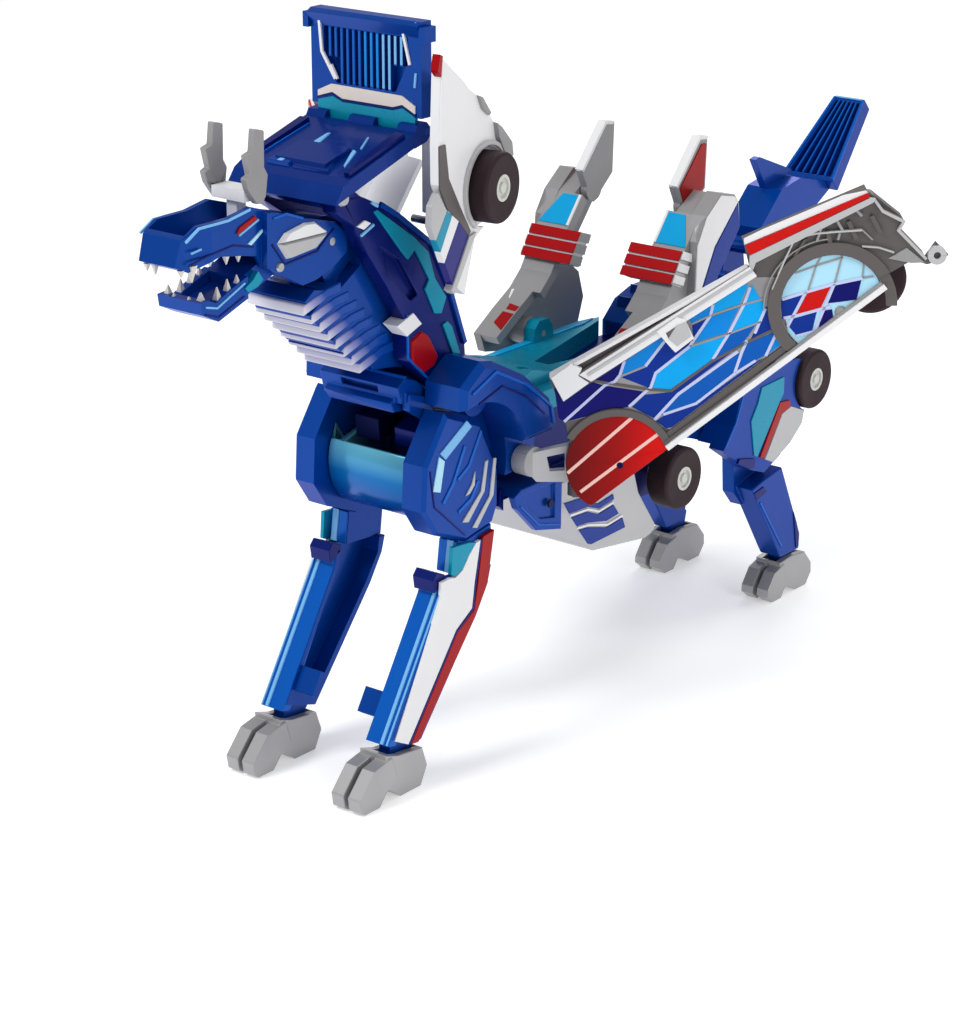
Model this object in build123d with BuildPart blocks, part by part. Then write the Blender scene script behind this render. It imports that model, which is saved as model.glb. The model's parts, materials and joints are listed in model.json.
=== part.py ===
from build123d import *
from math import cos, radians, sin
import os

# A two-in-one transforming toy, standing as a four-legged winged dragon.  X is the
# toy's left, Y runs from nose to tail and Z is up.  Side outlines are written as
# (distance behind the front heels, height); the origin is the middle of the toy's
# length and width, on the ground.

# ---- driving dimensions, mm -------------------------------------------------------
NOSE_Y = -61.0
TAIL_Y = 246.7
MID_Y = (NOSE_Y + TAIL_Y) / 2

TYRE_R = 9.0
TYRE_W = 7.2
HUB_R = 3.4
AXLE_R = 1.3
WHEEL_FACE = 26.0
FLANK_AXLE = (119.0, 54.0)
HIP_AXLE = (188.0, 66.5)

PIN_R = 2.0
SMALL_PIN_R = 1.0
FIT = 0.06
GAP = 0.35

CHASSIS_X = 14.2
ARM_IN = 14.8
ARM_OUT = 22.0
SHOULDER = (24.0, 79.0)
SHOULDER_SWEEP = 20.9
NECK_PIVOT = (31.0, 99.0)
HEAD_PIVOT = (-10.0, 146.0)
JAW_PIVOT = (-29.0, 143.6)
HORN_PIVOT = (-33.5, 161.0)
CREST_PIVOT = (-12.0, 157.6)
CREST_FOLD = (15.6, 169.6)
CREST_X = 17.6
FRONT_ANKLE = (-1.0, 9.5)
HIND_ANKLE = (181.0, 8.6)
KNEE = (163.0, 52.0)
FIN_PIVOT = (104.0, 93.0)
BLADE_PIVOT = (130.0, 129.5)
TAIL_PIVOT = (191.0, 103.5)
COLLAR_PIVOT = (20.0, 146.0)

WING_SPLAY = 52.0
WING_ROOT = (30.5, 50.4, 101.4)
WING_T = 2.4
ARCH_R = 13.4
FRONT_ARCH = (16.9, -23.7)
REAR_ARCH = (71.1, 19.3)
ARM_PIVOT_Y = 50.5
ARM_PIVOT_Z = 77.0
COLLAR_TOE = 9.0
COLLAR_FOLD = 40.0
COLLAR_WHEEL = (8.2, 153.6)
COLLAR_FACE = 5.2
FOOT_W = 9.6
TOE_GAP = 1.4
KNEE_R = 8.4
HIND_IN = 14.8
SHIN_IN = 17.2
HIND_OUT = 24.4
LAP = 19.2
FIN_FRONT = [(104.5, 104.3), (109.5, 108.8), (112.3, 113.2), (117, 120.3), (120, 123.8), (124, 128.8)]
FIN_IN = 14.6
FIN_OUT = 25.3
WALL = 2.4
WING_WHEEL = (81.4, 24.7)
WHEEL_BACK = -4.2
HINGE_ALONG = 6.2
HINGE_BACK = -4.7
KNUCKLE_R = 2.0
SILL_START = (10.3, -35.2)
SILL_END = (84.6, 24.2)
TAIL_FOOT = (220.6, 118.2)
TAIL_TIP = (243.6, 139.2)


def side(x):
    """Side-view plane at x: first axis to the tail, second axis up, normal along +X."""
    return Plane(origin=(x, -MID_Y, 0), x_dir=(0, 1, 0), z_dir=(1, 0, 0))


def top(z):
    """Plan-view plane at height z, with its origin above the front heels."""
    return Plane(origin=(0, -MID_Y, z), x_dir=(1, 0, 0), z_dir=(0, 0, 1))


def wing_plane(offset=0.0):
    """Plane of the left wing's outer face: first axis along the wing, second axis up."""
    normal = Vector(cos(radians(WING_SPLAY)), -sin(radians(WING_SPLAY)), 0)
    along = (sin(radians(WING_SPLAY)), cos(radians(WING_SPLAY)), 0)
    root = Vector(WING_ROOT[0], WING_ROOT[1] - MID_Y, WING_ROOT[2])
    return Plane(origin=root + normal * offset, x_dir=along, z_dir=normal)


def outline(plane, points):
    """Closed polygon face on a plane."""
    with BuildSketch(plane) as sketch:
        with BuildLine():
            Polyline(*points, close=True)
        make_face()
    return sketch.sketch


def disc(plane, centre, radius):
    """Round face on a plane."""
    with BuildSketch(plane) as sketch:
        with Locations(centre):
            Circle(radius)
    return sketch.sketch


def box_face(plane, low, high):
    """Rectangular face on a plane, given two opposite corners."""
    points = [low, (high[0], low[1]), high, (low[0], high[1])]
    return outline(plane, points)


def save(shape, name):
    """Label a finished piece and write it as its own STEP file."""
    shape.label = name
    export_step(shape, f"parts/{name}.step")


def save_pair(shape, name):
    """Write a left piece and its mirror image on the right."""
    save(shape, name + "_left")
    save(mirror(shape, about=Plane.YZ), name + "_right")


def save_collar_pair(shape, name):
    """Write a left collar piece upright and its mirror image folded back on the right."""
    save(shape, name + "_left")
    hinge = Axis((0, COLLAR_PIVOT[0] - MID_Y, COLLAR_PIVOT[1]), (1, 0, 0))
    save(mirror(shape, about=Plane.YZ).rotate(hinge, -COLLAR_FOLD), name + "_right")


def make_tyre(plane, centre, bore):
    """Tyre whose outer face lies on the plane, with a rounded tread edge."""
    with BuildPart() as tyre:
        extrude(disc(plane, centre, TYRE_R), amount=-TYRE_W)
        fillet(tyre.edges().filter_by(GeomType.CIRCLE), 1.1)
        extrude(disc(plane, centre, bore), amount=-TYRE_W, mode=Mode.SUBTRACT)
    return tyre.part


def make_hub(plane, centre, reach):
    """Hub that fills a tyre's bore, with a dished face and a stub axle behind it."""
    with BuildPart() as hub:
        extrude(disc(plane, centre, HUB_R), amount=-TYRE_W)
        extrude(disc(plane, centre, HUB_R - 0.8), amount=-0.6, mode=Mode.SUBTRACT)
        extrude(disc(plane, centre, AXLE_R), amount=-reach)
    return hub.part


os.makedirs("parts", exist_ok=True)

# ---- torso ------------------------------------------------------------------------

with BuildPart() as spine_chassis:
    body = [(45, 70), (58, 85.5), (134, 85.5), (134, 62), (129, 60), (129, 47), (109, 47),
            (105, 60), (70, 64), (45, 64)]
    extrude(outline(side(-CHASSIS_X), body), amount=2 * CHASSIS_X)
    # side pockets that leave a flange all round
    for x, depth in ((CHASSIS_X, -1.6), (-CHASSIS_X, 1.6)):
        extrude(box_face(side(x), (62, 68), (104, 82)), amount=depth, mode=Mode.SUBTRACT)
        extrude(box_face(side(x), (110, 66), (130, 82)), amount=depth, mode=Mode.SUBTRACT)
    extrude(disc(side(-CHASSIS_X), FLANK_AXLE, AXLE_R + FIT), amount=2 * CHASSIS_X,
            mode=Mode.SUBTRACT)
save(spine_chassis.part, "spine_chassis")

with BuildPart() as chest_frame:
    block = [(18.3, 105.2), (26.3, 110.4), (31, 109.4), (44.5, 102.4), (55.5, 93.5), (57, 84.5),
             (18, 84.5), (18, 99)]
    for x in (ARM_IN - 0.4, -27.0):
        extrude(outline(side(x), block), amount=27.0 - ARM_IN + 0.4)
    # inner cheeks below the shoulder caps, which carry the wing arms
    for x in (ARM_IN - 0.4, -19.6):
        extrude(box_face(side(x), (36.5, 74), (57, 86)), amount=19.6 - ARM_IN + 0.4)
    # bridge that ties both shoulders together
    extrude(outline(side(-15), [(44.6, 74), (57.6, 86), (57.6, 92), (44.6, 92.5)]), amount=30)
    for x in (ARM_IN - 0.4, -30.4):
        extrude(disc(side(x), SHOULDER, SHOULDER_SWEEP), amount=16, mode=Mode.SUBTRACT)
    # cross wall behind the barrel
    extrude(box_face(side(-ARM_IN + 0.6), (36.5, 66), (44.6, 92.5)), amount=2 * ARM_IN - 1.2)
    extrude(disc(side(-19.6), (ARM_PIVOT_Y, ARM_PIVOT_Z), SMALL_PIN_R), amount=39.2, mode=Mode.SUBTRACT)
    # neck bearing bosses
    for x in (ARM_IN - 0.4, -20.4):
        extrude(disc(side(x), NECK_PIVOT, 5.2), amount=6)
    extrude(disc(side(-20.4), NECK_PIVOT, PIN_R), amount=40.8, mode=Mode.SUBTRACT)
    # screw wells in the shoulder tops
    for x in (22.5, -22.5):
        with BuildSketch(top(120)):
            with Locations((x, 46.5)):
                Circle(1.7)
        extrude(amount=-26, mode=Mode.SUBTRACT)
    outer = chest_frame.faces().sort_by(Axis.X)
    chamfer(outer[-1].outer_wire().edges().filter_by(GeomType.LINE), 1.6)
    chamfer(outer[0].outer_wire().edges().filter_by(GeomType.LINE), 1.6)
save(chest_frame.part, "chest_frame")

with BuildPart() as chest_drum:
    with BuildSketch(side(-14.4)):
        with BuildLine():
            ThreePointArc((14.6, 85.0), (13.4, 77.5), (16.4, 69.8))
            ThreePointArc((16.4, 69.8), (20.5, 66.4), (26, 65.6))
            Line((26, 65.6), (36.2, 66.0))
            Line((36.2, 66.0), (36.2, 68.0))
            Line((36.2, 68.0), (26, 67.6))
            ThreePointArc((26, 67.6), (21.4, 68.3), (18.1, 71.0))
            ThreePointArc((18.1, 71.0), (15.5, 77.6), (16.6, 84.4))
            Line((16.6, 84.4), (14.6, 85.0))
        make_face()
    extrude(amount=28.8)
    # end webs that carry the shoulder axle
    web = [(15.8, 83), (15.2, 76), (18, 70.5), (26, 67.2), (36.2, 67.6), (36.2, 85), (26, 86)]
    for x in (-14.4, 12.4):
        extrude(outline(side(x), web), amount=2)
    extrude(disc(side(-14.4), SHOULDER, PIN_R), amount=28.8, mode=Mode.SUBTRACT)
save(chest_drum.part, "chest_drum")

with BuildPart() as chest_axles:
    extrude(disc(side(-20.0), SHOULDER, PIN_R), amount=40)
    extrude(disc(side(-20.4), NECK_PIVOT, PIN_R), amount=40.8)
save(chest_axles.part, "chest_axles")

with BuildPart() as chest_cover:
    plate = [(9.1, 105.0), (12.4, 107.0), (17, 105), (21, 101.5), (21, 98.5), (14, 99.8), (10.2, 100.6)]
    extrude(outline(side(-13), plate), amount=26)
    lip = [(8.3, 100.8), (10.6, 102.4), (14, 101.2), (14, 97.6), (10, 98.0)]
    extrude(outline(side(-11), lip), amount=22)
    cheek = [(12, 103), (18, 101), (22.5, 96.2), (36.5, 91.8), (36.5, 87), (31, 88), (20, 93.5), (12, 98.5)]
    for x in (-14.2, 12.0):
        extrude(outline(side(x), cheek), amount=2.2)
    # slot in the front of the plate
    extrude(box_face(side(-6), (8, 102.6), (11.5, 104.4)), amount=12, mode=Mode.SUBTRACT)
save(chest_cover.part, "chest_cover")

with BuildPart() as chest_skirt:
    flap = [(42.6, 69), (44, 65.5), (52.5, 57.2), (63.5, 54.5), (63.8, 70.5), (46, 70.5)]
    extrude(outline(side(-24), flap), amount=48)
    # hollow between the two flaps, open underneath
    extrude(box_face(side(-22), (40, 50), (62, 69.0)), amount=44, mode=Mode.SUBTRACT)
    # middle clears the chassis
    extrude(box_face(side(-CHASSIS_X), (40, 50), (70, 80)), amount=2 * CHASSIS_X, mode=Mode.SUBTRACT)
    for x in (24, -24):
        inner = [(47, 68.5), (48.5, 64.5), (54, 60), (60.5, 58.6), (60.5, 68.5)]
        extrude(outline(side(x), inner), amount=-0.8 if x > 0 else 0.8, mode=Mode.SUBTRACT)
save(chest_skirt.part, "chest_skirt")

with BuildPart() as back_plate:
    fork = [(-16.4, 58.4), (16.4, 58.4), (16.4, 126), (14.6, 133), (12.6, 130), (2.5, 86), (-2.5, 86),
            (-12.6, 130), (-14.6, 133), (-16.4, 126)]
    extrude(outline(top(85.5), fork), amount=5.5)
    # raised ramp on the front half
    extrude(outline(side(-12), [(58.4, 91), (58.4, 93.5), (66, 96), (84, 91)]), amount=24)
    with BuildSketch(top(100)):
        with Locations((8, 67), (-8, 67)):
            Circle(1.7)
    extrude(amount=-10.0, mode=Mode.SUBTRACT)
    # ears that carry the back fins
    ear = [(99, 90), (100, 95), (102, 97), (106, 97), (108, 95), (109, 90)]
    for x in (12.8, -16.4):
        extrude(outline(side(x), ear), amount=3.6)
    extrude(disc(side(-17), FIN_PIVOT, SMALL_PIN_R), amount=34, mode=Mode.SUBTRACT)
save(back_plate.part, "back_plate")

with BuildPart() as hip_block:
    body = [(134, 60), (134, 90), (140, 95.2), (148, 97.5), (176, 97.5), (186, 95), (198, 86),
            (200, 72), (196, 58), (176, 54), (150, 54), (140, 58)]
    extrude(outline(side(-CHASSIS_X), body), amount=2 * CHASSIS_X)
    chamfer(hip_block.edges().filter_by(Axis.X).sort_by(Axis.Z)[-2:], 1.0)
    # raised ridges across the rump
    for step in range(5):
        y = 137.5 + 6.2 * step
        rise = min(97.5, 93.4 + 2.2 * step)
        extrude(outline(side(-12), [(y, rise - 3), (y + 1, rise + 3.2), (y + 4.2, rise + 2.4),
                                    (y + 5, rise - 3)]),
                amount=24)
    extrude(disc(side(-CHASSIS_X), HIP_AXLE, AXLE_R + FIT), amount=2 * CHASSIS_X, mode=Mode.SUBTRACT)
    # tail hinge lugs
    lug = [(184, 92), (187, 104.8), (191, 107.4), (195, 104.8), (198, 88)]
    for x in (-10.5, 6.5):
        extrude(outline(side(x), lug), amount=4)
    extrude(disc(side(-10.5), TAIL_PIVOT, SMALL_PIN_R), amount=21)
save(hip_block.part, "hip_block")

with BuildPart() as belly_shell:
    shell = [(64.6, 66), (67, 61), (79, 44.9), (80.6, 42.4), (107.6, 38.6), (112, 40.7), (103, 53.3),
             (100, 62), (84, 66)]
    extrude(outline(side(-21.5), shell), amount=43)
    chamfer(belly_shell.edges().filter_by(Axis.X).sort_by(Axis.Z)[:3], 1.2)
    cavity = [(64, 70), (68.5, 61.5), (81, 46.5), (82.5, 44.6), (107, 41), (108.5, 42), (98, 56), (96, 70)]
    extrude(outline(side(-19.3), cavity), amount=38.6, mode=Mode.SUBTRACT)
    # the chassis keel passes through the middle
    keel = [(60, 63.8), (70, 63.8), (105, 59.8), (109, 46.8), (130, 46.8), (130, 90), (60, 90)]
    extrude(outline(side(-CHASSIS_X), keel), amount=2 * CHASSIS_X, mode=Mode.SUBTRACT)
    # ribs that hang the shell from the chassis
    for x in (-19.3, CHASSIS_X):
        extrude(box_face(side(x), (72, 60), (96, 64.5)), amount=19.3 - CHASSIS_X)
save(belly_shell.part, "belly_shell")

with BuildPart() as torso_screws:
    for x, y, z in ((22.5, 46.5, 96.6), (-22.5, 46.5, 96.6), (8, 67, 92.6), (-8, 67, 92.6)):
        with BuildSketch(top(z)):
            with Locations((x, y)):
                Circle(1.6)
        extrude(amount=-2.6)
        with BuildSketch(top(z)):
            with Locations((x, y)):
                Rectangle(2.0, 0.5)
                Rectangle(0.5, 2.0)
        extrude(amount=-0.8, mode=Mode.SUBTRACT)
save(torso_screws.part, "torso_screws")

# ---- running wheels on through axles -----------------------------------------------

for label, centre in (("flank", FLANK_AXLE), ("hip", HIP_AXLE)):
    left_tyre = make_tyre(side(WHEEL_FACE), centre, HUB_R)
    with BuildPart() as tyres:
        add(left_tyre)
        add(mirror(left_tyre, about=Plane.YZ))
    save(tyres.part, label + "_tyres")
    left_hub = make_hub(side(WHEEL_FACE), centre, WHEEL_FACE)
    with BuildPart() as axle:
        add(left_hub)
        add(mirror(left_hub, about=Plane.YZ))
    save(axle.part, label + "_axle")

# ---- neck ---------------------------------------------------------------------------

with BuildPart() as neck_core:
    throat = [(-20.5, 133.2), (-17, 135.4), (-8, 133.5), (0, 138), (3, 145), (8, 146), (18, 137),
              (24, 124), (28, 112), (34, 104), (34, 95.5), (27, 95.5), (25, 101.5), (21, 106.5), (13, 109),
              (3, 110.5), (-7, 117), (-13, 123.8), (-18.5, 128.4)]
    extrude(outline(side(-9), throat), amount=18)
    # throat scales, cut as steps across the front
    for step in range(6):
        y = -17.0 + 3.9 * step
        z = 130.4 - 4.1 * step
        extrude(outline(side(-9.5), [(y - 4, z - 1.4), (y + 1.2, z + 1.6), (y + 1.6, z + 1.0),
                                     (y - 3.6, z - 2.0)]),
                amount=19, mode=Mode.SUBTRACT)
    # head tongue
    tongue = [(-14.2, 143), (-8, 133), (2, 140), (4, 146), (-6, 151)]
    extrude(outline(side(-5.8), tongue), amount=11.6)
    extrude(disc(side(-5.8), HEAD_PIVOT, 5.8), amount=11.6)
    extrude(disc(side(-9), NECK_PIVOT, PIN_R + FIT), amount=18, mode=Mode.SUBTRACT)
    extrude(disc(side(-9), HEAD_PIVOT, SMALL_PIN_R), amount=18, mode=Mode.SUBTRACT)
save(neck_core.part, "neck_core")

with BuildPart() as neck_frame:
    rail = [(-14.5, 160.0), (-12.4, 161.2), (-9.5, 160.2), (-5.2, 157.0), (7.8, 150.9), (21.3, 140.6),
            (28.5, 127.2), (34.7, 111.3),
            (35.8, 100), (33, 95), (27, 95.6), (24, 101), (20.5, 103.5), (12, 111.5), (11, 122), (4, 133),
            (-3, 142.5), (-7.5, 150), (-14, 154.2)]
    extrude(outline(side(9.4), rail), amount=4.6)
    # lightening window behind the red badge
    extrude(outline(side(12.5), [(2, 143), (9, 138.5), (16, 128), (13, 127), (4, 136)]), amount=2,
            mode=Mode.SUBTRACT)
    extrude(disc(side(9.4), NECK_PIVOT, PIN_R + FIT), amount=4.6, mode=Mode.SUBTRACT)
    extrude(disc(side(9.4), CREST_PIVOT, SMALL_PIN_R), amount=4.6, mode=Mode.SUBTRACT)
    extrude(disc(side(9.4), COLLAR_PIVOT, SMALL_PIN_R), amount=4.6, mode=Mode.SUBTRACT)
save_pair(neck_frame.part, "neck_frame")

with BuildPart() as neck_pins:
    extrude(disc(side(-14.0), CREST_PIVOT, SMALL_PIN_R), amount=28)
    extrude(disc(side(-9.0), HEAD_PIVOT, SMALL_PIN_R), amount=18)
    for x in (9.4, -18.2):
        extrude(disc(side(x), COLLAR_PIVOT, SMALL_PIN_R), amount=8.8)
save(neck_pins.part, "neck_pins")

# ---- head -----------------------------------------------------------------------------

with BuildPart() as skull:
    snout = [(NOSE_Y, 149.4), (-59.0, 155.6), (-54.2, 158.0), (-44.3, 158.0), (-36.6, 159.2), (-29, 156.8),
             (-24, 154.6), (-24, 140), (-33.7, 144.6), (-35, 147.2), (-40.5, 148.4), (-47.5, 149.6),
             (-51.6, 148.6),
             (-57, 147.6)]
    extrude(outline(side(-7.2), snout), amount=14.4)
    cheek = [(-33, 157.4), (-29, 156.8), (-20, 153.6), (-9, 150.6), (-4.6, 146.8), (-4.8, 142.4),
             (-10, 139.6),
             (-16, 137.8), (-21, 137.4), (-33.4, 144.4)]
    extrude(outline(side(-9), cheek), amount=18)
    # open hollow in the top of the snout
    extrude(outline(side(-5.7), [(-57.5, 170), (-57.5, 152), (-31.8, 152), (-31.8, 170)]), amount=11.4,
            mode=Mode.SUBTRACT)
    # taper of the muzzle towards the nose
    for x, reach in ((7.2, -61.5), (-7.2, -61.5)):
        corner = [(x, reach), (x, -50), (x * 0.78, reach)]
        extrude(outline(top(140), corner), amount=20, mode=Mode.SUBTRACT)
    # slot for the neck tongue and the rear of the jaw
    extrude(box_face(side(-6.2), (-18.5, 130), (0, 160)), amount=12.4, mode=Mode.SUBTRACT)
    extrude(outline(side(-6.2), [(-36, 130), (-36, 146.4), (-24, 149.2), (-19, 149.2), (-19, 130)]),
            amount=12.4,
            mode=Mode.SUBTRACT)
    extrude(disc(side(-9), HEAD_PIVOT, SMALL_PIN_R + FIT), amount=18, mode=Mode.SUBTRACT)
    extrude(disc(side(-9), JAW_PIVOT, SMALL_PIN_R), amount=18, mode=Mode.SUBTRACT)
save(skull.part, "skull")

with BuildPart() as jaw:
    front = [(-38, 143.0), (-45.4, 140.4), (-49, 138.8), (-51.7, 140.0), (-54.1, 139.8), (-53.6, 136.8),
             (-48.3, 134.2), (-38, 137.6)]
    extrude(outline(side(-7.0), front), amount=14)
    # tongue-shaped trough between the gums
    extrude(outline(side(-4.6), [(-50.5, 150), (-50.5, 137.4), (-38, 140.2), (-37, 150)]), amount=9.2,
            mode=Mode.SUBTRACT)
    rear = [(-39, 142.6), (-31, 145.8), (-27, 145.8), (-26, 142.6), (-28.5, 140.8), (-39, 137.4)]
    extrude(outline(side(-5.8), rear), amount=11.6)
    extrude(disc(side(-8.6), JAW_PIVOT, SMALL_PIN_R - FIT), amount=17.2)
save(jaw.part, "jaw")

with BuildPart() as horn_bracket:
    bar = [(-36.6, 160.0), (-36.6, 162.8), (-31, 162.8), (-31, 160.0)]
    extrude(outline(side(-5.2), bar), amount=10.4)
    extrude(box_face(side(-1.6), (-35.4, 152), (-32.2, 160)), amount=3.2)
    extrude(box_face(side(-5.7), (-35.4, 152), (-32.2, 153.6)), amount=11.4)
    extrude(disc(side(-9), HORN_PIVOT, SMALL_PIN_R), amount=18, mode=Mode.SUBTRACT)
save(horn_bracket.part, "horn_bracket")

with BuildPart() as horns:
    blade = [(-34.4, 159.5), (-35.6, 161), (-37.4, 163.4), (-38.2, 166.2), (-36.6, 166.8), (-37.8, 171.6),
             (-35.5, 172.2), (-34.8, 177.4), (-31.6, 176.6), (-31.8, 168), (-30.6, 166), (-31.4, 161),
             (-32.6, 159.5)]
    for x in (5.5, -7.5):
        extrude(outline(side(x), blade), amount=2.0)
    extrude(disc(side(-7.5), HORN_PIVOT, SMALL_PIN_R - FIT), amount=15)
save(horns.part, "horns")

# ---- crest ------------------------------------------------------------------------------

with BuildPart() as crest_lower:
    panel = [(-18.4, 157.6), (-15.4, 161.6), (-12.8, 163.0), (11.6, 170.2), (11.6, 166.6), (-8.4, 160.6)]
    extrude(outline(side(-CREST_X), panel), amount=2 * CREST_X)
    # front hinge barrel and its web
    extrude(disc(side(-9.0), CREST_PIVOT, 3.0), amount=18)
    extrude(outline(side(-9.0), [(-14, 158), (-14, 162), (-8, 163.5), (-9, 158)]), amount=18)
    extrude(disc(side(-10), CREST_PIVOT, SMALL_PIN_R + FIT), amount=20, mode=Mode.SUBTRACT)
    # room for the neck lugs either side of the barrel
    for x in (9.1, -14.4):
        extrude(disc(side(x), CREST_PIVOT, 4.2), amount=5.3, mode=Mode.SUBTRACT)
    # stepped pad on the top face
    extrude(outline(side(-8), [(-12, 162), (-11, 165), (-2, 167.4), (0, 165)]), amount=16)
    # knuckles of the rear fold
    knuckle = [(10, 168), (12, 171.6), (15.6, 172.0), (17.9, 169.6), (15.6, 167.2), (11, 166.2)]
    for x in (-CREST_X, -4.0, CREST_X - 6.0):
        width = 8.0 if x == -4.0 else 6.0
        extrude(outline(side(x), knuckle), amount=width)
    extrude(disc(side(-CREST_X), CREST_FOLD, SMALL_PIN_R), amount=2 * CREST_X, mode=Mode.SUBTRACT)
save(crest_lower.part, "crest_lower")

with BuildPart() as crest_upper:
    panel = [(13.6, 173.0), (13.6, 192.6), (12.0, 195.6), (13.6, 196.5), (17.4, 196.5), (17.6, 173.0)]
    extrude(outline(side(-CREST_X), panel), amount=2 * CREST_X)
    # louvred recess in the front face, narrowing downwards
    front = Plane(origin=(0, 13.6 - MID_Y, 0), x_dir=(1, 0, 0), z_dir=(0, -1, 0))
    extrude(outline(front, [(-13.4, 192.4), (13.4, 192.4), (13.4, 186), (9.4, 178.6), (-9.4, 178.6),
                            (-13.4, 186)]),
            amount=-2.2, mode=Mode.SUBTRACT)
    for bar in range(-6, 7):
        x = bar * 1.9
        foot = 178.6 if abs(x) < 9.0 else 185.0
        extrude(box_face(front, (x - 0.45, foot), (x + 0.45, 192.4)), amount=-2.2)
    # ears at the top corners
    for x in (-19.4, CREST_X):
        extrude(box_face(side(x), (12.6, 191.6), (17.0, 195.4)), amount=1.8)
    # knuckles of the fold
    for x in (-11.3, 4.3):
        extrude(outline(side(x), [(13.6, 174), (13.3, 169.6), (15.6, 167.4), (17.9, 169.6), (17.6, 174)]),
                amount=7.0)
    extrude(disc(side(-CREST_X), CREST_FOLD, SMALL_PIN_R - FIT), amount=2 * CREST_X)
save(crest_upper.part, "crest_upper")

# ---- collar shells (a car's rear quarters worn behind the neck) ---------------------------


def collar_plane(offset=0.0):
    """Outer face of the left collar shell, toed out towards the front."""
    normal = Vector(cos(radians(COLLAR_TOE)), sin(radians(COLLAR_TOE)), 0)
    along = (-sin(radians(COLLAR_TOE)), cos(radians(COLLAR_TOE)), 0)
    root = Vector(23.2, 25 - MID_Y, 0)
    return Plane(origin=root + normal * offset, x_dir=along, z_dir=normal)


with BuildPart() as collar_shell:
    quarter = [(-13.8, 189.4), (0.6, 178.9), (6.3, 175.6), (17, 163.6), (16.4, 159), (13, 146),
               (2.8, 141.4),
               (-2.4, 128.2), (-6.4, 131), (-8.2, 147), (-14.8, 158.4), (-15.0, 168)]
    extrude(outline(collar_plane(), quarter), amount=-2.4)
    # wheel arch: a shallow round pocket open to the rear
    extrude(disc(collar_plane(0.0), COLLAR_WHEEL, 10.2), amount=-3.0, mode=Mode.SUBTRACT)
    extrude(disc(collar_plane(-2.4), COLLAR_WHEEL, 10.4), amount=-1.2)
    # roof flange that turns inwards behind the crest
    flange = [(-4.6, 182.6), (0.6, 178.9), (6.3, 175.6), (17, 163.6), (15.2, 162.4), (5.2, 173.8),
              (-0.4, 177),
              (-5.4, 180.6)]
    extrude(outline(collar_plane(-2.4), flange), amount=-5.0)
    # hinge boss towards the neck
    extrude(disc(collar_plane(-1.2), (COLLAR_PIVOT[0] - 25, COLLAR_PIVOT[1]), 3.4), amount=-6.0)
    extrude(box_face(side(10), (0, 120), (60, 200)), amount=4.5, mode=Mode.SUBTRACT)
    # bonnet wall that turns in behind the neck, carried on the back of the arch
    bonnet = [(19.7, 28.2), (14, 27), (4.6, 29.4), (4.6, 31), (14, 28.6), (19.5, 29.8)]
    extrude(outline(Plane.XY.offset(145), [(x, y - MID_Y) for x, y in bonnet]), amount=21.0)
    extrude(disc(side(9), COLLAR_PIVOT, SMALL_PIN_R + FIT), amount=9.4, mode=Mode.SUBTRACT)
    # wheel stub bore
    extrude(disc(collar_plane(), COLLAR_WHEEL, AXLE_R + FIT), amount=-5.0, mode=Mode.SUBTRACT)
save_collar_pair(collar_shell.part, "collar_shell")

save_collar_pair(make_tyre(collar_plane(COLLAR_FACE), COLLAR_WHEEL, HUB_R), "collar_tyre")
save_collar_pair(make_hub(collar_plane(COLLAR_FACE), COLLAR_WHEEL, TYRE_W + 2.4), "collar_hub")

# ---- front legs -----------------------------------------------------------------------------

with BuildPart() as shoulder_disc:
    rim = [(17.4, 98.0), (31.4, 92.0), (38.8, 77.6), (38.8, 68.0), (36.6, 63.4), (25.2, 61.6), (13.0, 66.6),
           (8.0, 74.0), (8.8, 86.0)]
    extrude(outline(side(ARM_IN), rim), amount=ARM_OUT - ARM_IN)
    chamfer(shoulder_disc.faces().sort_by(Axis.X)[-1].edges(), 1.0)
    extrude(disc(side(ARM_IN), SHOULDER, PIN_R + FIT), amount=5.4, mode=Mode.SUBTRACT)
save_pair(shoulder_disc.part, "shoulder_disc")

with BuildPart() as front_leg_upper:
    post = [(22.6, 62.6), (25.2, 61.6), (36.4, 63.3), (36.4, 60), (35.4, 52.4), (21.2, 53.3)]
    extrude(outline(side(ARM_IN + 0.6), post), amount=ARM_OUT - ARM_IN - 1.2)
save_pair(front_leg_upper.part, "front_leg_upper")

with BuildPart() as front_leg_lower:
    shank = [(16.6, 53.4), (35.6, 52.2), (34.2, 47.7), (29.2, 40.2), (6.2, 12.6), (-5.4, 16.4),
             (14.8, 49.0)]
    extrude(outline(side(ARM_IN - 0.6), shank), amount=ARM_OUT - ARM_IN + 0.6)
    # channel open towards the middle of the toy
    channel = [(17.6, 54), (33.6, 54), (32.6, 48.2), (27.6, 41.2), (8.6, 18.6), (0.6, 23.4), (16.6, 48.8)]
    extrude(outline(side(ARM_IN - 0.6), channel), amount=4.8, mode=Mode.SUBTRACT)
    # inward locking tab near the ankle
    extrude(outline(side(7.6), [(1.5, 25.5), (3.3, 24.3), (-0.3, 18.5), (-2.1, 19.7)]), amount=9.4)
    # ankle tongue
    ankle = [(-3.6, 20), (6.4, 13), (1.8, 8.2), (-1, 6.6), (-4, 9)]
    extrude(outline(side(16.4), ankle), amount=3.6)
    extrude(disc(side(16.4), FRONT_ANKLE, SMALL_PIN_R + FIT), amount=3.6, mode=Mode.SUBTRACT)
save_pair(front_leg_lower.part, "front_leg_lower")


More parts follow.
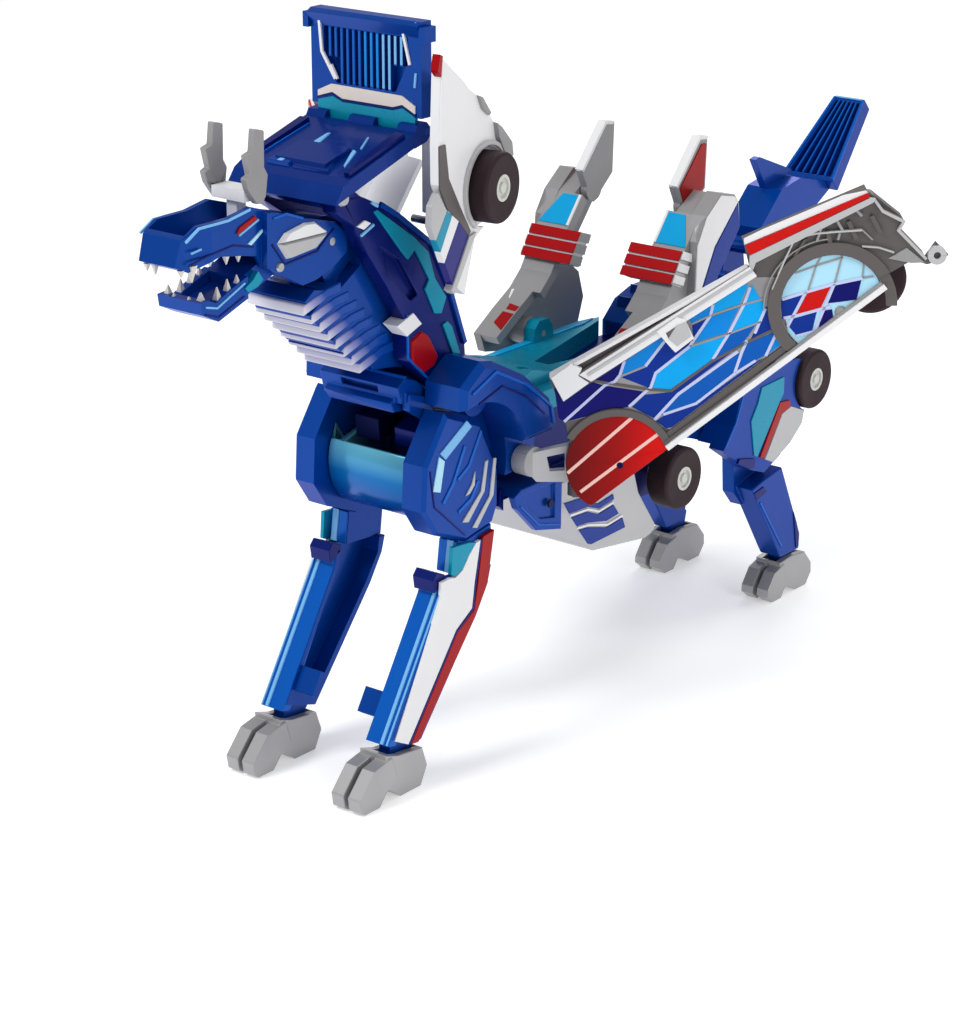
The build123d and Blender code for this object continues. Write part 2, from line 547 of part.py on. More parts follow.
with BuildPart() as front_foot:
    instep = [(-8.6, 13.4), (-3.8, 11.8), (6.2, 10.6), (8.2, 5), (5.6, 0), (-2.6, 0), (-4.2, 1.4),
              (-7.6, 3.6)]
    extrude(outline(side(18.2 - FOOT_W / 2 + 0.4), instep), amount=FOOT_W - 0.8)
    toe = [(-6.4, 12.2), (-13.6, 10.8), (-19.4, 4.6), (-18.8, 1.0), (-17, 0), (-11.6, 0), (-8.2, 3.6),
           (-4.4, 6)]
    for x in (18.2 - FOOT_W / 2, 18.2 + TOE_GAP / 2):
        extrude(outline(side(x), toe), amount=(FOOT_W - TOE_GAP) / 2)
    extrude(box_face(side(16.0), (-5.6, 4.6), (5.8, 22)), amount=4.4, mode=Mode.SUBTRACT)
    extrude(disc(side(15.6), FRONT_ANKLE, SMALL_PIN_R), amount=5.2)
save_pair(front_foot.part, "front_foot")

# ---- hind legs --------------------------------------------------------------------------------


with BuildPart() as hind_thigh:
    ham = [(150, 72), (146, 62), (141, 56), (148, 51.4), (155, 46.6), (163, 43.6), (171, 46.6),
           (182.4, 53.2),
           (184.4, 57.6), (186, 61), (190, 62), (190, 71), (180, 74.6), (160, 76)]
    extrude(outline(side(HIND_IN), ham), amount=HIND_OUT - HIND_IN)
    extrude(disc(side(HIND_IN), HIP_AXLE, 6.0), amount=18.4 - HIND_IN)
    # the shin laps inside the lower half
    lap = [(140, 30), (188, 30), (174, 57), (163, 61), (151, 57), (140, 57)]
    extrude(outline(side(HIND_IN - 1), lap), amount=LAP - HIND_IN + 1, mode=Mode.SUBTRACT)
    extrude(disc(side(HIND_IN - 1), KNEE, KNEE_R + 0.5), amount=LAP - HIND_IN + 1, mode=Mode.SUBTRACT)
    # round clearance for the tyre
    extrude(disc(side(18.4), HIP_AXLE, TYRE_R + 0.6), amount=12, mode=Mode.SUBTRACT)
    extrude(disc(side(HIND_IN - 1), HIP_AXLE, AXLE_R + FIT), amount=12, mode=Mode.SUBTRACT)
    # knee pin
    extrude(disc(side(HIND_IN), KNEE, SMALL_PIN_R), amount=LAP - HIND_IN + 1)
save_pair(hind_thigh.part, "hind_thigh")

with BuildPart() as hind_shin:
    bone = [(157, 39.6), (163, 41), (172.8, 42.6), (184.4, 18.4), (184.2, 13.6), (174, 13.6), (172.6, 15.6)]
    extrude(outline(side(SHIN_IN), bone), amount=HIND_OUT - SHIN_IN)
    extrude(outline(side(HIND_IN), [(154.6, 52), (155.6, 38), (160, 33), (172, 33), (171.4, 52)]),
            amount=LAP - HIND_IN - GAP)
    extrude(disc(side(HIND_IN), KNEE, KNEE_R), amount=LAP - HIND_IN - GAP)
    extrude(disc(side(HIND_IN), KNEE, SMALL_PIN_R + FIT), amount=9, mode=Mode.SUBTRACT)
    # ankle tongue
    extrude(outline(side(17.8), [(177, 16), (186, 16), (184, 8), (181, 5.4), (178, 8)]), amount=3.8)
    extrude(disc(side(17.8), HIND_ANKLE, SMALL_PIN_R + FIT), amount=3.8, mode=Mode.SUBTRACT)
save_pair(hind_shin.part, "hind_shin")

with BuildPart() as hind_foot:
    heel = [(174.6, 11.4), (180, 12), (188.4, 11.2), (192.4, 6.6), (192.6, 3.6), (189.6, 0), (184, 0),
            (180.2, 2), (176, 3)]
    extrude(outline(side(19.7 - FOOT_W / 2 + 0.4), heel), amount=FOOT_W - 0.8)
    toe = [(176.4, 10.6), (178.4, 4.4), (175, 0), (170.6, 0), (167.6, 2.4), (167.8, 4.6), (171.4, 9.2)]
    for x in (19.7 - FOOT_W / 2, 19.7 + TOE_GAP / 2):
        extrude(outline(side(x), toe), amount=(FOOT_W - TOE_GAP) / 2)
    extrude(box_face(side(17.4), (175.4, 3.8), (187.2, 14)), amount=4.6, mode=Mode.SUBTRACT)
    extrude(disc(side(17.0), HIND_ANKLE, SMALL_PIN_R), amount=5.4)
save_pair(hind_foot.part, "hind_foot")

# ---- back fins -----------------------------------------------------------------------------------


with BuildPart() as fin:
    # outer wall, from the boat-shaped foot up to the blade
    rear_edge = [(132.5, 133.4), (133.5, 129), (128.5, 124), (121.5, 111), (127, 108.5), (134, 103), (136.5, 95),
                 (134, 88), (100, 87), (90, 89)]
    flank = [(88, 94.5), (96.5, 99.8)] + FIN_FRONT + rear_edge
    extrude(outline(side(FIN_OUT - WALL), flank), amount=WALL)
    # front wall, full width above the pivot ears
    back = [(126.4, 126.6), (122.4, 121.8), (119.6, 118.6), (114.9, 112), (111.8, 107), (106.4, 102.2)]
    extrude(outline(side(FIN_IN), FIN_FRONT + back), amount=FIN_OUT - FIN_IN)
    shin = [(88, 94.5), (96.5, 99.8), (104.5, 104.3), (106.4, 102.2), (98, 97.4), (89.5, 92.3)]
    extrude(outline(side(17.2), shin), amount=FIN_OUT - 17.2)
    # three clamp bands that wrap the front wall and overhang towards the middle
    for step in range(3):
        y = 110.2 + 1.9 * step
        z = 112.6 + 2.9 * step
        band = [(y, z), (y + 1.4, z + 2.2), (y + 6.6, z + 0.4), (y + 5.4, z - 2.0)]
        extrude(outline(side(8.8), band), amount=FIN_OUT + 0.6 - 8.8)
    # raised fender panel outside the wall
    panel = [(118.6, 106.5), (119.4, 122.6), (123.8, 129), (130.8, 134.2), (137.6, 132.6), (139.8, 129.6),
             (140.5, 122.8), (129.4, 109.9), (124, 103.5)]
    extrude(outline(side(FIN_OUT - WALL), panel), amount=WALL + 2.4)
    # bearing block under the blade
    extrude(outline(side(17.4), [(124, 128.8), (132.5, 133.4), (133.5, 129), (128.5, 124), (122.4, 121.8)]),
            amount=FIN_OUT - 17.4)
    extrude(disc(side(17.4), BLADE_PIVOT, SMALL_PIN_R), amount=5, mode=Mode.SUBTRACT)
    # foot boss and pivot peg
    extrude(disc(side(16.8), FIN_PIVOT, 4.0), amount=FIN_OUT - 16.8)
    extrude(disc(side(12.8), FIN_PIVOT, SMALL_PIN_R - FIT), amount=4.2)
save_pair(fin.part, "fin")

with BuildPart() as fin_blade:
    blade = [(139.3, 147.2), (135.3, 147.8), (124, 135.4), (126.0, 131.6), (127.6, 128), (130, 125.6),
             (138.7, 132.7)]
    extrude(outline(side(14.8), blade), amount=2.2)
    extrude(disc(side(14.8), BLADE_PIVOT, 3.6), amount=2.2)
    extrude(disc(side(14.8), BLADE_PIVOT, SMALL_PIN_R - FIT), amount=7.2)
save_pair(fin_blade.part, "fin_blade")

# ---- wings (a car's whole sides, spread outwards) -----------------------------------------------


def wing_level(height, along=HINGE_ALONG, back=HINGE_BACK):
    """Level plane at a height in wing coordinates, centred on a point behind the wing."""
    frame = wing_plane(back)
    origin = frame.origin + frame.x_dir * along + Vector(0, 0, height)
    return Plane(origin=origin, x_dir=frame.x_dir, z_dir=(0, 0, 1))


with BuildPart() as wing_arm:
    link = [(-7.6, -22.4), (HINGE_ALONG, -19.2), (HINGE_ALONG, -29.8), (-4.0, -29.8), (-5.8, -27.8)]
    extrude(outline(wing_plane(HINGE_BACK + 1.2), link), amount=-2.4)
    extrude(outline(wing_plane(HINGE_BACK + 1.2), [(-1.4, -22.9), (3.4, -21.8), (3.4, -26.6),
                                                   (-0.5, -26.9)]),
            amount=-2.4, mode=Mode.SUBTRACT)
    extrude(disc(wing_level(-29.8), (0, 0), KNUCKLE_R), amount=10.6)
    extrude(disc(wing_level(-29.8), (0, 0), SMALL_PIN_R + FIT), amount=10.6, mode=Mode.SUBTRACT)
    # pivot boss towards the body
    extrude(disc(side(20.0), (ARM_PIVOT_Y, ARM_PIVOT_Z), 4.0), amount=4.4)
    extrude(outline(side(21.6), [(47.4, 79.8), (ARM_PIVOT_Y, 80.8), (52.4, 80.2), (52.4, 72.4), (48, 74)]),
            amount=2.8)
    extrude(disc(side(15.0), (ARM_PIVOT_Y, ARM_PIVOT_Z), SMALL_PIN_R - FIT), amount=5.0)
save_pair(wing_arm.part, "wing_arm")

with BuildPart() as wing_panel:
    with BuildSketch(wing_plane()):
        with BuildLine():
            Polyline((-0.9, -0.3), (49.6, 29.0), (57.5, 29.0), (71, 19.3), SILL_END, (30.2, -19.2),
                     (7.1, -30),
                     (3.4, -12.3), close=True)
        make_face()
        with Locations(FRONT_ARCH, REAR_ARCH):
            Circle(ARCH_R)
        with BuildLine():
            Polyline(SILL_START, SILL_END, (110, 24), (110, -50), (-5, -50), close=True)
        make_face(mode=Mode.SUBTRACT)
    extrude(amount=-WING_T)
    # window rail with its two clips
    rail = [(-0.6, 0.2), (5.2, 3.8), (7.0, 2.0), (49.4, 29.8), (51.2, 27.2), (8.5, -1.9), (2.8, -6.2)]
    extrude(outline(wing_plane(), rail), amount=1.6)
    extrude(outline(wing_plane(), [(27.1, 13.4), (32.8, 17.0), (35.7, 10.5), (31.0, 7.3)]), amount=2.2)
    # sill rail
    sill = [(30.4, -19.1), (28.8, -17.2), (SILL_END[0] - 1.6, SILL_END[1] + 0.6), SILL_END]
    extrude(outline(wing_plane(), sill), amount=1.2)
    # bead around the front wheel arch
    with BuildSketch(wing_plane()):
        with Locations(FRONT_ARCH):
            Circle(ARCH_R + 2.0)
            Circle(ARCH_R, mode=Mode.SUBTRACT)
        with BuildLine():
            Polyline((-5, -24), (2.0, -13.5), (4.0, -14.0), (4.0, -16.5), (28.8, -16.5), (31, -18.4),
                     (60, -18), (60, -60), (-5, -60), close=True)
        make_face(mode=Mode.SUBTRACT)
    extrude(amount=0.8)
    extrude(disc(wing_plane(-WING_T), WING_WHEEL, AXLE_R + FIT), amount=1.6, mode=Mode.SUBTRACT)
    # hinge lugs behind the front arch
    for height, tall in ((-18.8, 4.4), (-33.6, 3.4)):
        extrude(disc(wing_level(height), (0, 0), KNUCKLE_R), amount=tall)
        with BuildSketch(wing_level(height)):
            with Locations((0.6, -1.4)):
                Rectangle(2.8, 2.4)
        extrude(amount=tall)
    extrude(disc(wing_level(-33.6), (0, 0), SMALL_PIN_R), amount=19.2)
save_pair(wing_panel.part, "wing_panel")

with BuildPart() as wing_fender:
    with BuildSketch(wing_plane()):
        with BuildLine():
            Polyline((48.0, 35.2), (78.8, 48.8), (80.4, 47.6), (82.7, 44.3), (88.2, 41.5), (87.0, 39.1),
                     (94.2, 31.8),
                     (96.7, 35.6), (99.9, 32.5), (98.3, 31.1), (94.6, 30.0), (90.8, 31.1), (84.8, 27.4),
                     (71.1, 19.3),
                     (57.5, 29.0), (49.7, 29.0), close=True)
        make_face()
        with Locations(REAR_ARCH):
            Circle(ARCH_R, mode=Mode.SUBTRACT)
    extrude(amount=-WING_T)
    # bead around the rear wheel arch, down to the sill
    with BuildSketch(wing_plane()):
        with Locations(REAR_ARCH):
            Circle(ARCH_R + 3.2)
            Circle(ARCH_R, mode=Mode.SUBTRACT)
        with BuildLine():
            Polyline((57.2, 5.6), (62.8, 10.0), REAR_ARCH, (84.8, 28.2), (110, 28.2), (110, -10), (57, -10),
                     close=True)
        make_face(mode=Mode.SUBTRACT)
    extrude(amount=1.2)
    # shoulder deck that folds away from the outer face
    deck = [(48.0, 35.2), (78.8, 48.8), (78.8, 46.9), (48.8, 33.4)]
    extrude(outline(wing_plane(1.2), deck), amount=-9.6)
    # tail panel behind the wheel
    tail_panel = [(94.2, 31.8), (87.0, 39.1), (88.2, 41.5), (80.4, 47.6), (77.6, 47.8), (85.6, 38.5),
                  (92.6, 31.0)]
    extrude(outline(wing_plane(-WING_T), tail_panel), amount=-5.4)
    # moulded ribs on the open side
    for x, y, dx, dy in ((63.0, 36.6, -2.6, -4.4), (68.4, 38.8, 1.2, -5.0), (73.6, 41.2, 2.2, -4.6),
                         (79.4, 42.6, 2.4, -4.4)):
        rib = [(x, y), (x + 1.0, y + 0.4), (x + 1.0 + dx, y + 0.4 + dy), (x + dx, y + dy)]
        extrude(outline(wing_plane(), rib), amount=1.0)
save_pair(wing_fender.part, "wing_fender")


def wing_outer(offset):
    """Plane behind the left wing, facing away from its printed side."""
    face = wing_plane(offset)
    return Plane(origin=face.origin, x_dir=-face.x_dir, z_dir=-face.z_dir)


WHEEL_OUT = (-WING_WHEEL[0], WING_WHEEL[1])
save_pair(make_tyre(wing_outer(WHEEL_BACK - TYRE_W), WHEEL_OUT, HUB_R), "wing_tyre")
save_pair(make_hub(wing_outer(WHEEL_BACK - TYRE_W), WHEEL_OUT, TYRE_W + 3.2), "wing_hub")

# ---- tail -------------------------------------------------------------------------------------------

with BuildPart() as tail_root:
    root = [(187.6, 106.0), (185.4, 110), (196.4, 119.6), (207, 121.4), (220.6, 118.2), (223.7, 114.8),
            (206.5, 106),
            (194.8, 101.8), (191, 99.9), (187.6, 102)]
    extrude(outline(side(-6.0), root), amount=12)
    extrude(disc(side(-6.0), TAIL_PIVOT, 3.6), amount=12)
    # small spur fin pointing forwards
    extrude(outline(side(-1.2), [(189.2, 129.3), (191.6, 129.8), (209.9, 122.8), (196.4, 118.4)]),
            amount=2.4)
    extrude(disc(side(-6.0), TAIL_PIVOT, SMALL_PIN_R + FIT), amount=12, mode=Mode.SUBTRACT)
save(tail_root.part, "tail_root")

tail_run = Vector(0, TAIL_TIP[0] - TAIL_FOOT[0], TAIL_TIP[1] - TAIL_FOOT[1])
tail_face = Plane(origin=(0, TAIL_FOOT[0] - MID_Y, TAIL_FOOT[1]), x_dir=(1, 0, 0),
                  z_dir=Vector(1, 0, 0).cross(tail_run))

with BuildPart() as tail_blade:
    length = tail_run.length
    extrude(outline(tail_face, [(-9, 0), (9, 0), (5.4, length), (-5.4, length)]), amount=-4.6)
    # tray with long ribs, open to the front
    extrude(outline(tail_face, [(-7.4, 1.6), (7.4, 1.6), (4.2, length - 1.6), (-4.2, length - 1.6)]),
            amount=-2.8,
            mode=Mode.SUBTRACT)
    for rib in range(-2, 3):
        foot, tip = rib * 2.6, rib * 1.5
        bar = [(foot - 0.4, 1), (foot + 0.4, 1), (tip + 0.3, length - 1), (tip - 0.3, length - 1)]
        extrude(outline(tail_face, bar), amount=-3.2)
save(tail_blade.part, "tail_blade")
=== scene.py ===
import json
import math

import bmesh
import bpy
from mathutils import Matrix, Vector


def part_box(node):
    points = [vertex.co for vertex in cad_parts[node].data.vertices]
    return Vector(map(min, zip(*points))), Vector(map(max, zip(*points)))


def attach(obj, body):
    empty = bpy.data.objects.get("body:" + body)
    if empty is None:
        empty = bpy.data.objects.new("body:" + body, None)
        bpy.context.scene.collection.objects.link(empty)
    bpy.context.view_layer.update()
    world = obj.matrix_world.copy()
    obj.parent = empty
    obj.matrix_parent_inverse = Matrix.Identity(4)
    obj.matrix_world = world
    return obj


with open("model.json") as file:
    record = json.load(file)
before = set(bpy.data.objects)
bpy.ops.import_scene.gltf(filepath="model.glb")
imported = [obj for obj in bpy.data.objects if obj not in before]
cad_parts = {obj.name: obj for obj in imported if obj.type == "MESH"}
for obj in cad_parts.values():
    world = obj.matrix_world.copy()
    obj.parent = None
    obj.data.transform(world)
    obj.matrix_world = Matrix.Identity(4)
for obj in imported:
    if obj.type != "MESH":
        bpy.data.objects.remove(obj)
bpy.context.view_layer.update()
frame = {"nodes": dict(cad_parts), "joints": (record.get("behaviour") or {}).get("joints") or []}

# Lengths are in mm from here on, and times MM where Blender needs metres.
MM = 0.001
NOSE_MM = -61.0
HEEL_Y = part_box("skull")[0].y - NOSE_MM * MM
SIDES = ((1, "left"), (-1, "right"))
JOINTS = {joint["name"]: joint for joint in frame["joints"]}

# Rounded edges, and how far prints and lines stand out from the panel under them.
WELD_GAP = 0.004 * MM
CASING_EDGE = 0.3
TRIM_EDGE = 0.12
FINE_EDGE = 0.08
EDGE_SEGMENTS = 2
BEVEL_ANGLE = math.radians(40)
MITRE_LIMIT = 0.5
PRINT_TOP = 0.24
LINE_TOP = 0.34

# Moulded plastic.
COAT_ROUGHNESS = 0.08
MOTTLE_SCALE, MOTTLE_DETAIL = 90.0, 4.0
GRAIN_SCALE, GRAIN_DETAIL, GRAIN_DEPTH = 1800.0, 2.0, 0.2 * MM
LEAST_TINT = 0.1
GLOSS_LOW, GLOSS_HIGH = 0.8, 1.25

# Studio, with the floor's half width in metres.
FLOOR_HALF = 3.0
FLOOR_GLOW = 0.34
WORLD_GLOW = 0.42
WHITE_LIGHT = (1.0, 1.0, 1.0, 1.0)


# ---- places on the toy, in mm ------------------------------------------------------------

def toy(x, y, z):
    """Point in the row frame: x to the left, y behind the front heels, z above the ground."""
    return Vector((x * MM, HEEL_Y + y * MM, z * MM))


def side_face(side, x):
    """Upright plane facing sideways at x; u runs to the tail, v up, w outwards."""
    return lambda u, v, w: toy(side * (x + w), u, v)


def outer_x(node):
    """How far out a left-hand node reaches, in mm."""
    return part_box(node)[1].x / MM


def joint_face(joint, along, up, out):
    """Upright plane square to a wheel's axis, whose origin lies (along, up, out) before the wheel."""
    def build(side):
        normal = Vector(JOINTS[joint]["axis"])
        run = Vector((-normal.y, normal.x, 0))
        origin = Vector(JOINTS[joint]["pos_m"]) - (run * along + normal * out + Vector((0, 0, up))) * MM

        def place(u, v, w):
            point = origin + (run * u + normal * w) * MM + Vector((0, 0, v * MM))
            return Vector((side * point.x, point.y, point.z))
        return place
    return build


wing_face = joint_face("wing_wheel_spin_left", 81.4, 24.7, -7.8)
upright_collar_face = joint_face("collar_wheel_spin_left", 8.2, 153.6, 1.6)


def collar_face(side):
    """Outer plane of a collar shell; the right shell is turned back about its hinge at rest."""
    upright = upright_collar_face(side)
    hinges = [Vector(JOINTS["collar_tilt_" + hand]["pos_m"]) for hand in ("left", "right")]
    wheels = [Vector(JOINTS["collar_wheel_spin_" + hand]["pos_m"]) for hand in ("left", "right")]
    arms = [wheel - hinge for wheel, hinge in zip(wheels, hinges)]
    lean = math.atan2(arms[1].z, arms[1].y) - math.atan2(arms[0].z, arms[0].y)
    turn = Matrix.Rotation(lean if side < 0 else 0.0, 3, "X")
    hinge = hinges[0] if side > 0 else hinges[1]
    return lambda u, v, w: hinge + turn @ (upright(u, v, w) - hinge)


def slope_face(low, high, side=1):
    """Sloping plane across the toy, from low to high in (y, z); u runs sideways, v up the slope."""
    run = Vector((0, high[0] - low[0], high[1] - low[1])).normalized()
    out = Vector((0, -run.z, run.y))
    return lambda u, v, w: toy(side * u, low[0] + run.y * v + out.y * w, low[1] + run.z * v + out.z * w)


# ---- materials ---------------------------------------------------------------------------

def linear(rgb):
    """Linear colour from 0-255 display values."""
    def channel(value):
        value /= 255
        return value / 12.92 if value <= 0.04045 else ((value + 0.055) / 1.055) ** 2.4
    return tuple(channel(value) for value in rgb) + (1.0,)


def plastic(name, rgb, rough=0.3, metallic=0.0, coat=0.12, mottle=0.1, grain=0.03, fade=None):
    """Moulded plastic: faint colour mottling, uneven gloss and a fine moulded grain.

    fade is (direction, start, end, stops) for a colour that changes along a direction, where start and
    end are distances in metres from the frame's origin and stops are (share of the way, colour).
    """
    material = bpy.data.materials.new(name)
    material.use_nodes = True
    nodes, links = material.node_tree.nodes, material.node_tree.links
    shader = nodes["Principled BSDF"]
    shader.inputs["Metallic"].default_value = metallic
    shader.inputs["Coat Weight"].default_value = coat
    shader.inputs["Coat Roughness"].default_value = COAT_ROUGHNESS
    peak = max(linear(rgb)[:3])
    tint = [LEAST_TINT + (1.0 - LEAST_TINT) * channel / peak for channel in linear(rgb)[:3]]
    shader.inputs["Specular Tint"].default_value = (*tint, 1.0)
    coords = nodes.new("ShaderNodeTexCoord")
    broad = nodes.new("ShaderNodeTexNoise")
    broad.inputs["Scale"].default_value = MOTTLE_SCALE
    broad.inputs["Detail"].default_value = MOTTLE_DETAIL
    links.new(coords.outputs["Object"], broad.inputs["Vector"])
    mix = nodes.new("ShaderNodeMix")
    mix.data_type = "RGBA"
    mix.blend_type = "MULTIPLY"
    links.new(broad.outputs["Fac"], mix.inputs["Factor"])
    if fade:
        direction, start, end, stops = fade
        dot = nodes.new("ShaderNodeVectorMath")
        dot.operation = "DOT_PRODUCT"
        dot.inputs[1].default_value = direction
        links.new(coords.outputs["Object"], dot.inputs[0])
        spread = nodes.new("ShaderNodeMapRange")
        spread.inputs["From Min"].default_value = start
        spread.inputs["From Max"].default_value = end
        links.new(dot.outputs["Value"], spread.inputs["Value"])
        ramp = nodes.new("ShaderNodeValToRGB")
        for index, (place, colour) in enumerate(stops):
            stop = ramp.color_ramp.elements[index] if index < 2 else ramp.color_ramp.elements.new(place)
            stop.position = place
            stop.color = linear(colour)
        links.new(spread.outputs["Result"], ramp.inputs["Fac"])
        links.new(ramp.outputs["Color"], mix.inputs["A"])
    else:
        mix.inputs["A"].default_value = linear(rgb)
    dark = 1.0 - mottle
    mix.inputs["B"].default_value = (dark, dark, dark, 1.0)
    links.new(mix.outputs["Result"], shader.inputs["Base Color"])
    gloss = nodes.new("ShaderNodeMapRange")
    gloss.inputs["To Min"].default_value = rough * GLOSS_LOW
    gloss.inputs["To Max"].default_value = rough * GLOSS_HIGH
    links.new(broad.outputs["Fac"], gloss.inputs["Value"])
    links.new(gloss.outputs["Result"], shader.inputs["Roughness"])
    fine = nodes.new("ShaderNodeTexNoise")
    fine.inputs["Scale"].default_value = GRAIN_SCALE
    fine.inputs["Detail"].default_value = GRAIN_DETAIL
    links.new(coords.outputs["Object"], fine.inputs["Vector"])
    bump = nodes.new("ShaderNodeBump")
    bump.inputs["Strength"].default_value = grain
    bump.inputs["Distance"].default_value = GRAIN_DEPTH
    links.new(fine.outputs["Fac"], bump.inputs["Height"])
    links.new(bump.outputs["Normal"], shader.inputs["Normal"])
    return material


def toy_dot(direction, y, z):
    """Value that a direction in (y, z) has at a point given in toy mm."""
    point = toy(0, y, z)
    return direction[1] * point.y + direction[2] * point.z


BLUE_RGB = (0, 64, 152)
MATERIALS = {
    "blue": plastic("blue_gloss", BLUE_RGB, 0.3, metallic=0.35),
    "royal": plastic("royal_gloss", (4, 92, 190), 0.28, metallic=0.3),
    "dusk": plastic("dusk_gloss", (0, 46, 128), 0.26, metallic=0.35),
    "navy": plastic("navy_gloss", (2, 22, 98), 0.3, metallic=0.3),
    "ink": plastic("ink_satin", (2, 6, 40), 0.5, coat=0.0),
    "teal": plastic("teal_gloss", (8, 142, 172), 0.28, metallic=0.25),
    "cyan": plastic("cyan_print", (0, 160, 218), 0.4),
    "azure": plastic("azure_print", (0, 134, 222), 0.4),
    "bright": plastic("bright_print", (0, 166, 240), 0.4),
    "cobalt": plastic("cobalt_print", (0, 88, 180), 0.4),
    "marine": plastic("marine_print", (0, 44, 138), 0.4),
    "indigo": plastic("indigo_print", (24, 20, 112), 0.4),
    "deep": plastic("deep_print", (2, 2, 92), 0.4),
    "sky": plastic("sky_print", (120, 186, 236), 0.26),
    "ice": plastic("ice_print", (176, 226, 248), 0.3),
    "lilac": plastic("lilac_line", (196, 204, 238), 0.35),
    "white": plastic("white_gloss", (232, 232, 234), 0.3, mottle=0.05),
    "cream": plastic("cream_print", (226, 216, 208), 0.35, mottle=0.05),
    "pink": plastic("pale_line", (246, 200, 190), 0.35),
    "silver": plastic("silver_satin", (184, 184, 186), 0.34, metallic=0.15, mottle=0.07),
    "grey": plastic("grey_satin", (148, 147, 148), 0.42, metallic=0.1, coat=0.15, grain=0.06),
    "foot": plastic("foot_silver", (168, 167, 168), 0.33, metallic=0.35, coat=0.2, mottle=0.16,
                    grain=0.08),
    "slate": plastic("slate_satin", (86, 82, 81), 0.45, coat=0.05, grain=0.06),
    "red": plastic("red_gloss", (158, 4, 12), 0.32, metallic=0.2),
    "scarlet": plastic("scarlet_print", (200, 12, 8), 0.4),
    "tyre": plastic("tyre_rubber_dark", (24, 17, 19), 0.62, coat=0.0, mottle=0.25, grain=0.25),
    "hub": plastic("hub_satin", (206, 206, 200), 0.4, coat=0.1, grain=0.06),
    "steel": plastic("plated_steel", (170, 170, 172), 0.25, metallic=0.95, coat=0.0),
    "tooth": plastic("tooth_cream", (214, 210, 206), 0.4),
    # The drum fades from deep blue at the bottom to light teal at the top: partly the drum's teal and blue
    # colours, partly painted shading of its curved front, lighter at the top.
    "drum": plastic("drum_teal_to_blue_painted_shading", BLUE_RGB, 0.22, metallic=0.3,
                    fade=((0, 0, 1), 0.067, 0.086,
                          ((0, (0, 60, 150)), (1, (112, 196, 214)), (0.55, (8, 106, 172))))),
    "throat": plastic("throat_white_to_blue", BLUE_RGB, 0.28,
                      fade=((0, 0.72, 0.69), toy_dot((0, 0.72, 0.69), -20.4, 130.0),
                            toy_dot((0, 0.72, 0.69), -15.0, 135.0),
                            ((0, (226, 224, 228)), (1, (6, 66, 156)), (0.45, (150, 150, 196))))),
}

NODE_LOOKS = {
    "spine_chassis": "navy", "chest_frame": "blue", "chest_drum": "drum", "chest_axles": "steel",
    "chest_cover": "blue", "chest_skirt": "blue", "back_plate": "teal", "hip_block": "blue",
    "belly_shell": "silver", "torso_screws": "steel", "flank_tyres": "tyre", "hip_tyres": "tyre",
    "flank_axle": "hub", "hip_axle": "hub", "neck_core": "blue", "neck_frame": "navy", "neck_pins": "steel",
    "skull": "blue", "jaw": "blue", "horn_bracket": "white", "horns": "grey", "crest_lower": "dusk",
    "crest_upper": "blue", "collar_shell": "white", "collar_tyre": "tyre", "collar_hub": "hub",
    "shoulder_disc": "blue", "front_leg_upper": "blue", "front_leg_lower": "blue", "front_foot": "foot",
    "hind_thigh": "blue", "hind_shin": "blue", "hind_foot": "foot", "fin": "grey", "fin_blade": "grey",
    "wing_arm": "silver", "wing_panel": "slate", "wing_fender": "slate", "wing_tyre": "tyre",
    "wing_hub": "hub", "tail_root": "blue", "tail_blade": "blue",
}


def round_edges(thing, width):
    """Small moulded radius on every sharp edge."""
    bevel = thing.modifiers.new("edge_radius", "BEVEL")
    bevel.width = width * MM
    bevel.segments = EDGE_SEGMENTS
    bevel.limit_method = "ANGLE"
    bevel.angle_limit = BEVEL_ANGLE


for node_name, node in frame["nodes"].items():
    look = NODE_LOOKS[node_name.removesuffix("_left").removesuffix("_right")]
    node.data.materials.clear()
    node.data.materials.append(MATERIALS[look])
    weld = node.modifiers.new("weld", "WELD")
    weld.merge_threshold = WELD_GAP
    round_edges(node, CASING_EDGE)


# ---- plates, ribbons and teeth -----------------------------------------------------------

def ribbon(points, width):
    """Outline of a line of even width that follows the points, with mitred corners."""
    left, right = [], []
    for index, (u, v) in enumerate(points):
        before = Vector(points[max(index - 1, 0)])
        after = Vector(points[min(index + 1, len(points) - 1)])
        here = Vector((u, v))
        first = (here - before).normalized() if index else (after - here).normalized()
        second = (after - here).normalized() if index < len(points) - 1 else first
        run = (first + second).normalized()
        half = width / 2 / max(run.dot(first), MITRE_LIMIT)
        left.append((u - run.y * half, v + run.x * half))
        right.append((u + run.y * half, v - run.x * half))
    return left + right[::-1]


def circle(centre, radius, start=0.0, end=360.0, steps=40):
    """Points on an arc, by angle in degrees."""
    count = steps if end - start >= 360 else steps + 1
    span = (end - start) / steps
    angles = [math.radians(start + span * step) for step in range(count)]
    return [(centre[0] + radius * math.cos(a), centre[1] + radius * math.sin(a)) for a in angles]


def ring(centre, inner, outer, start, end):
    """Outline of an arc-shaped band."""
    return circle(centre, outer, start, end) + circle(centre, inner, start, end)[::-1]


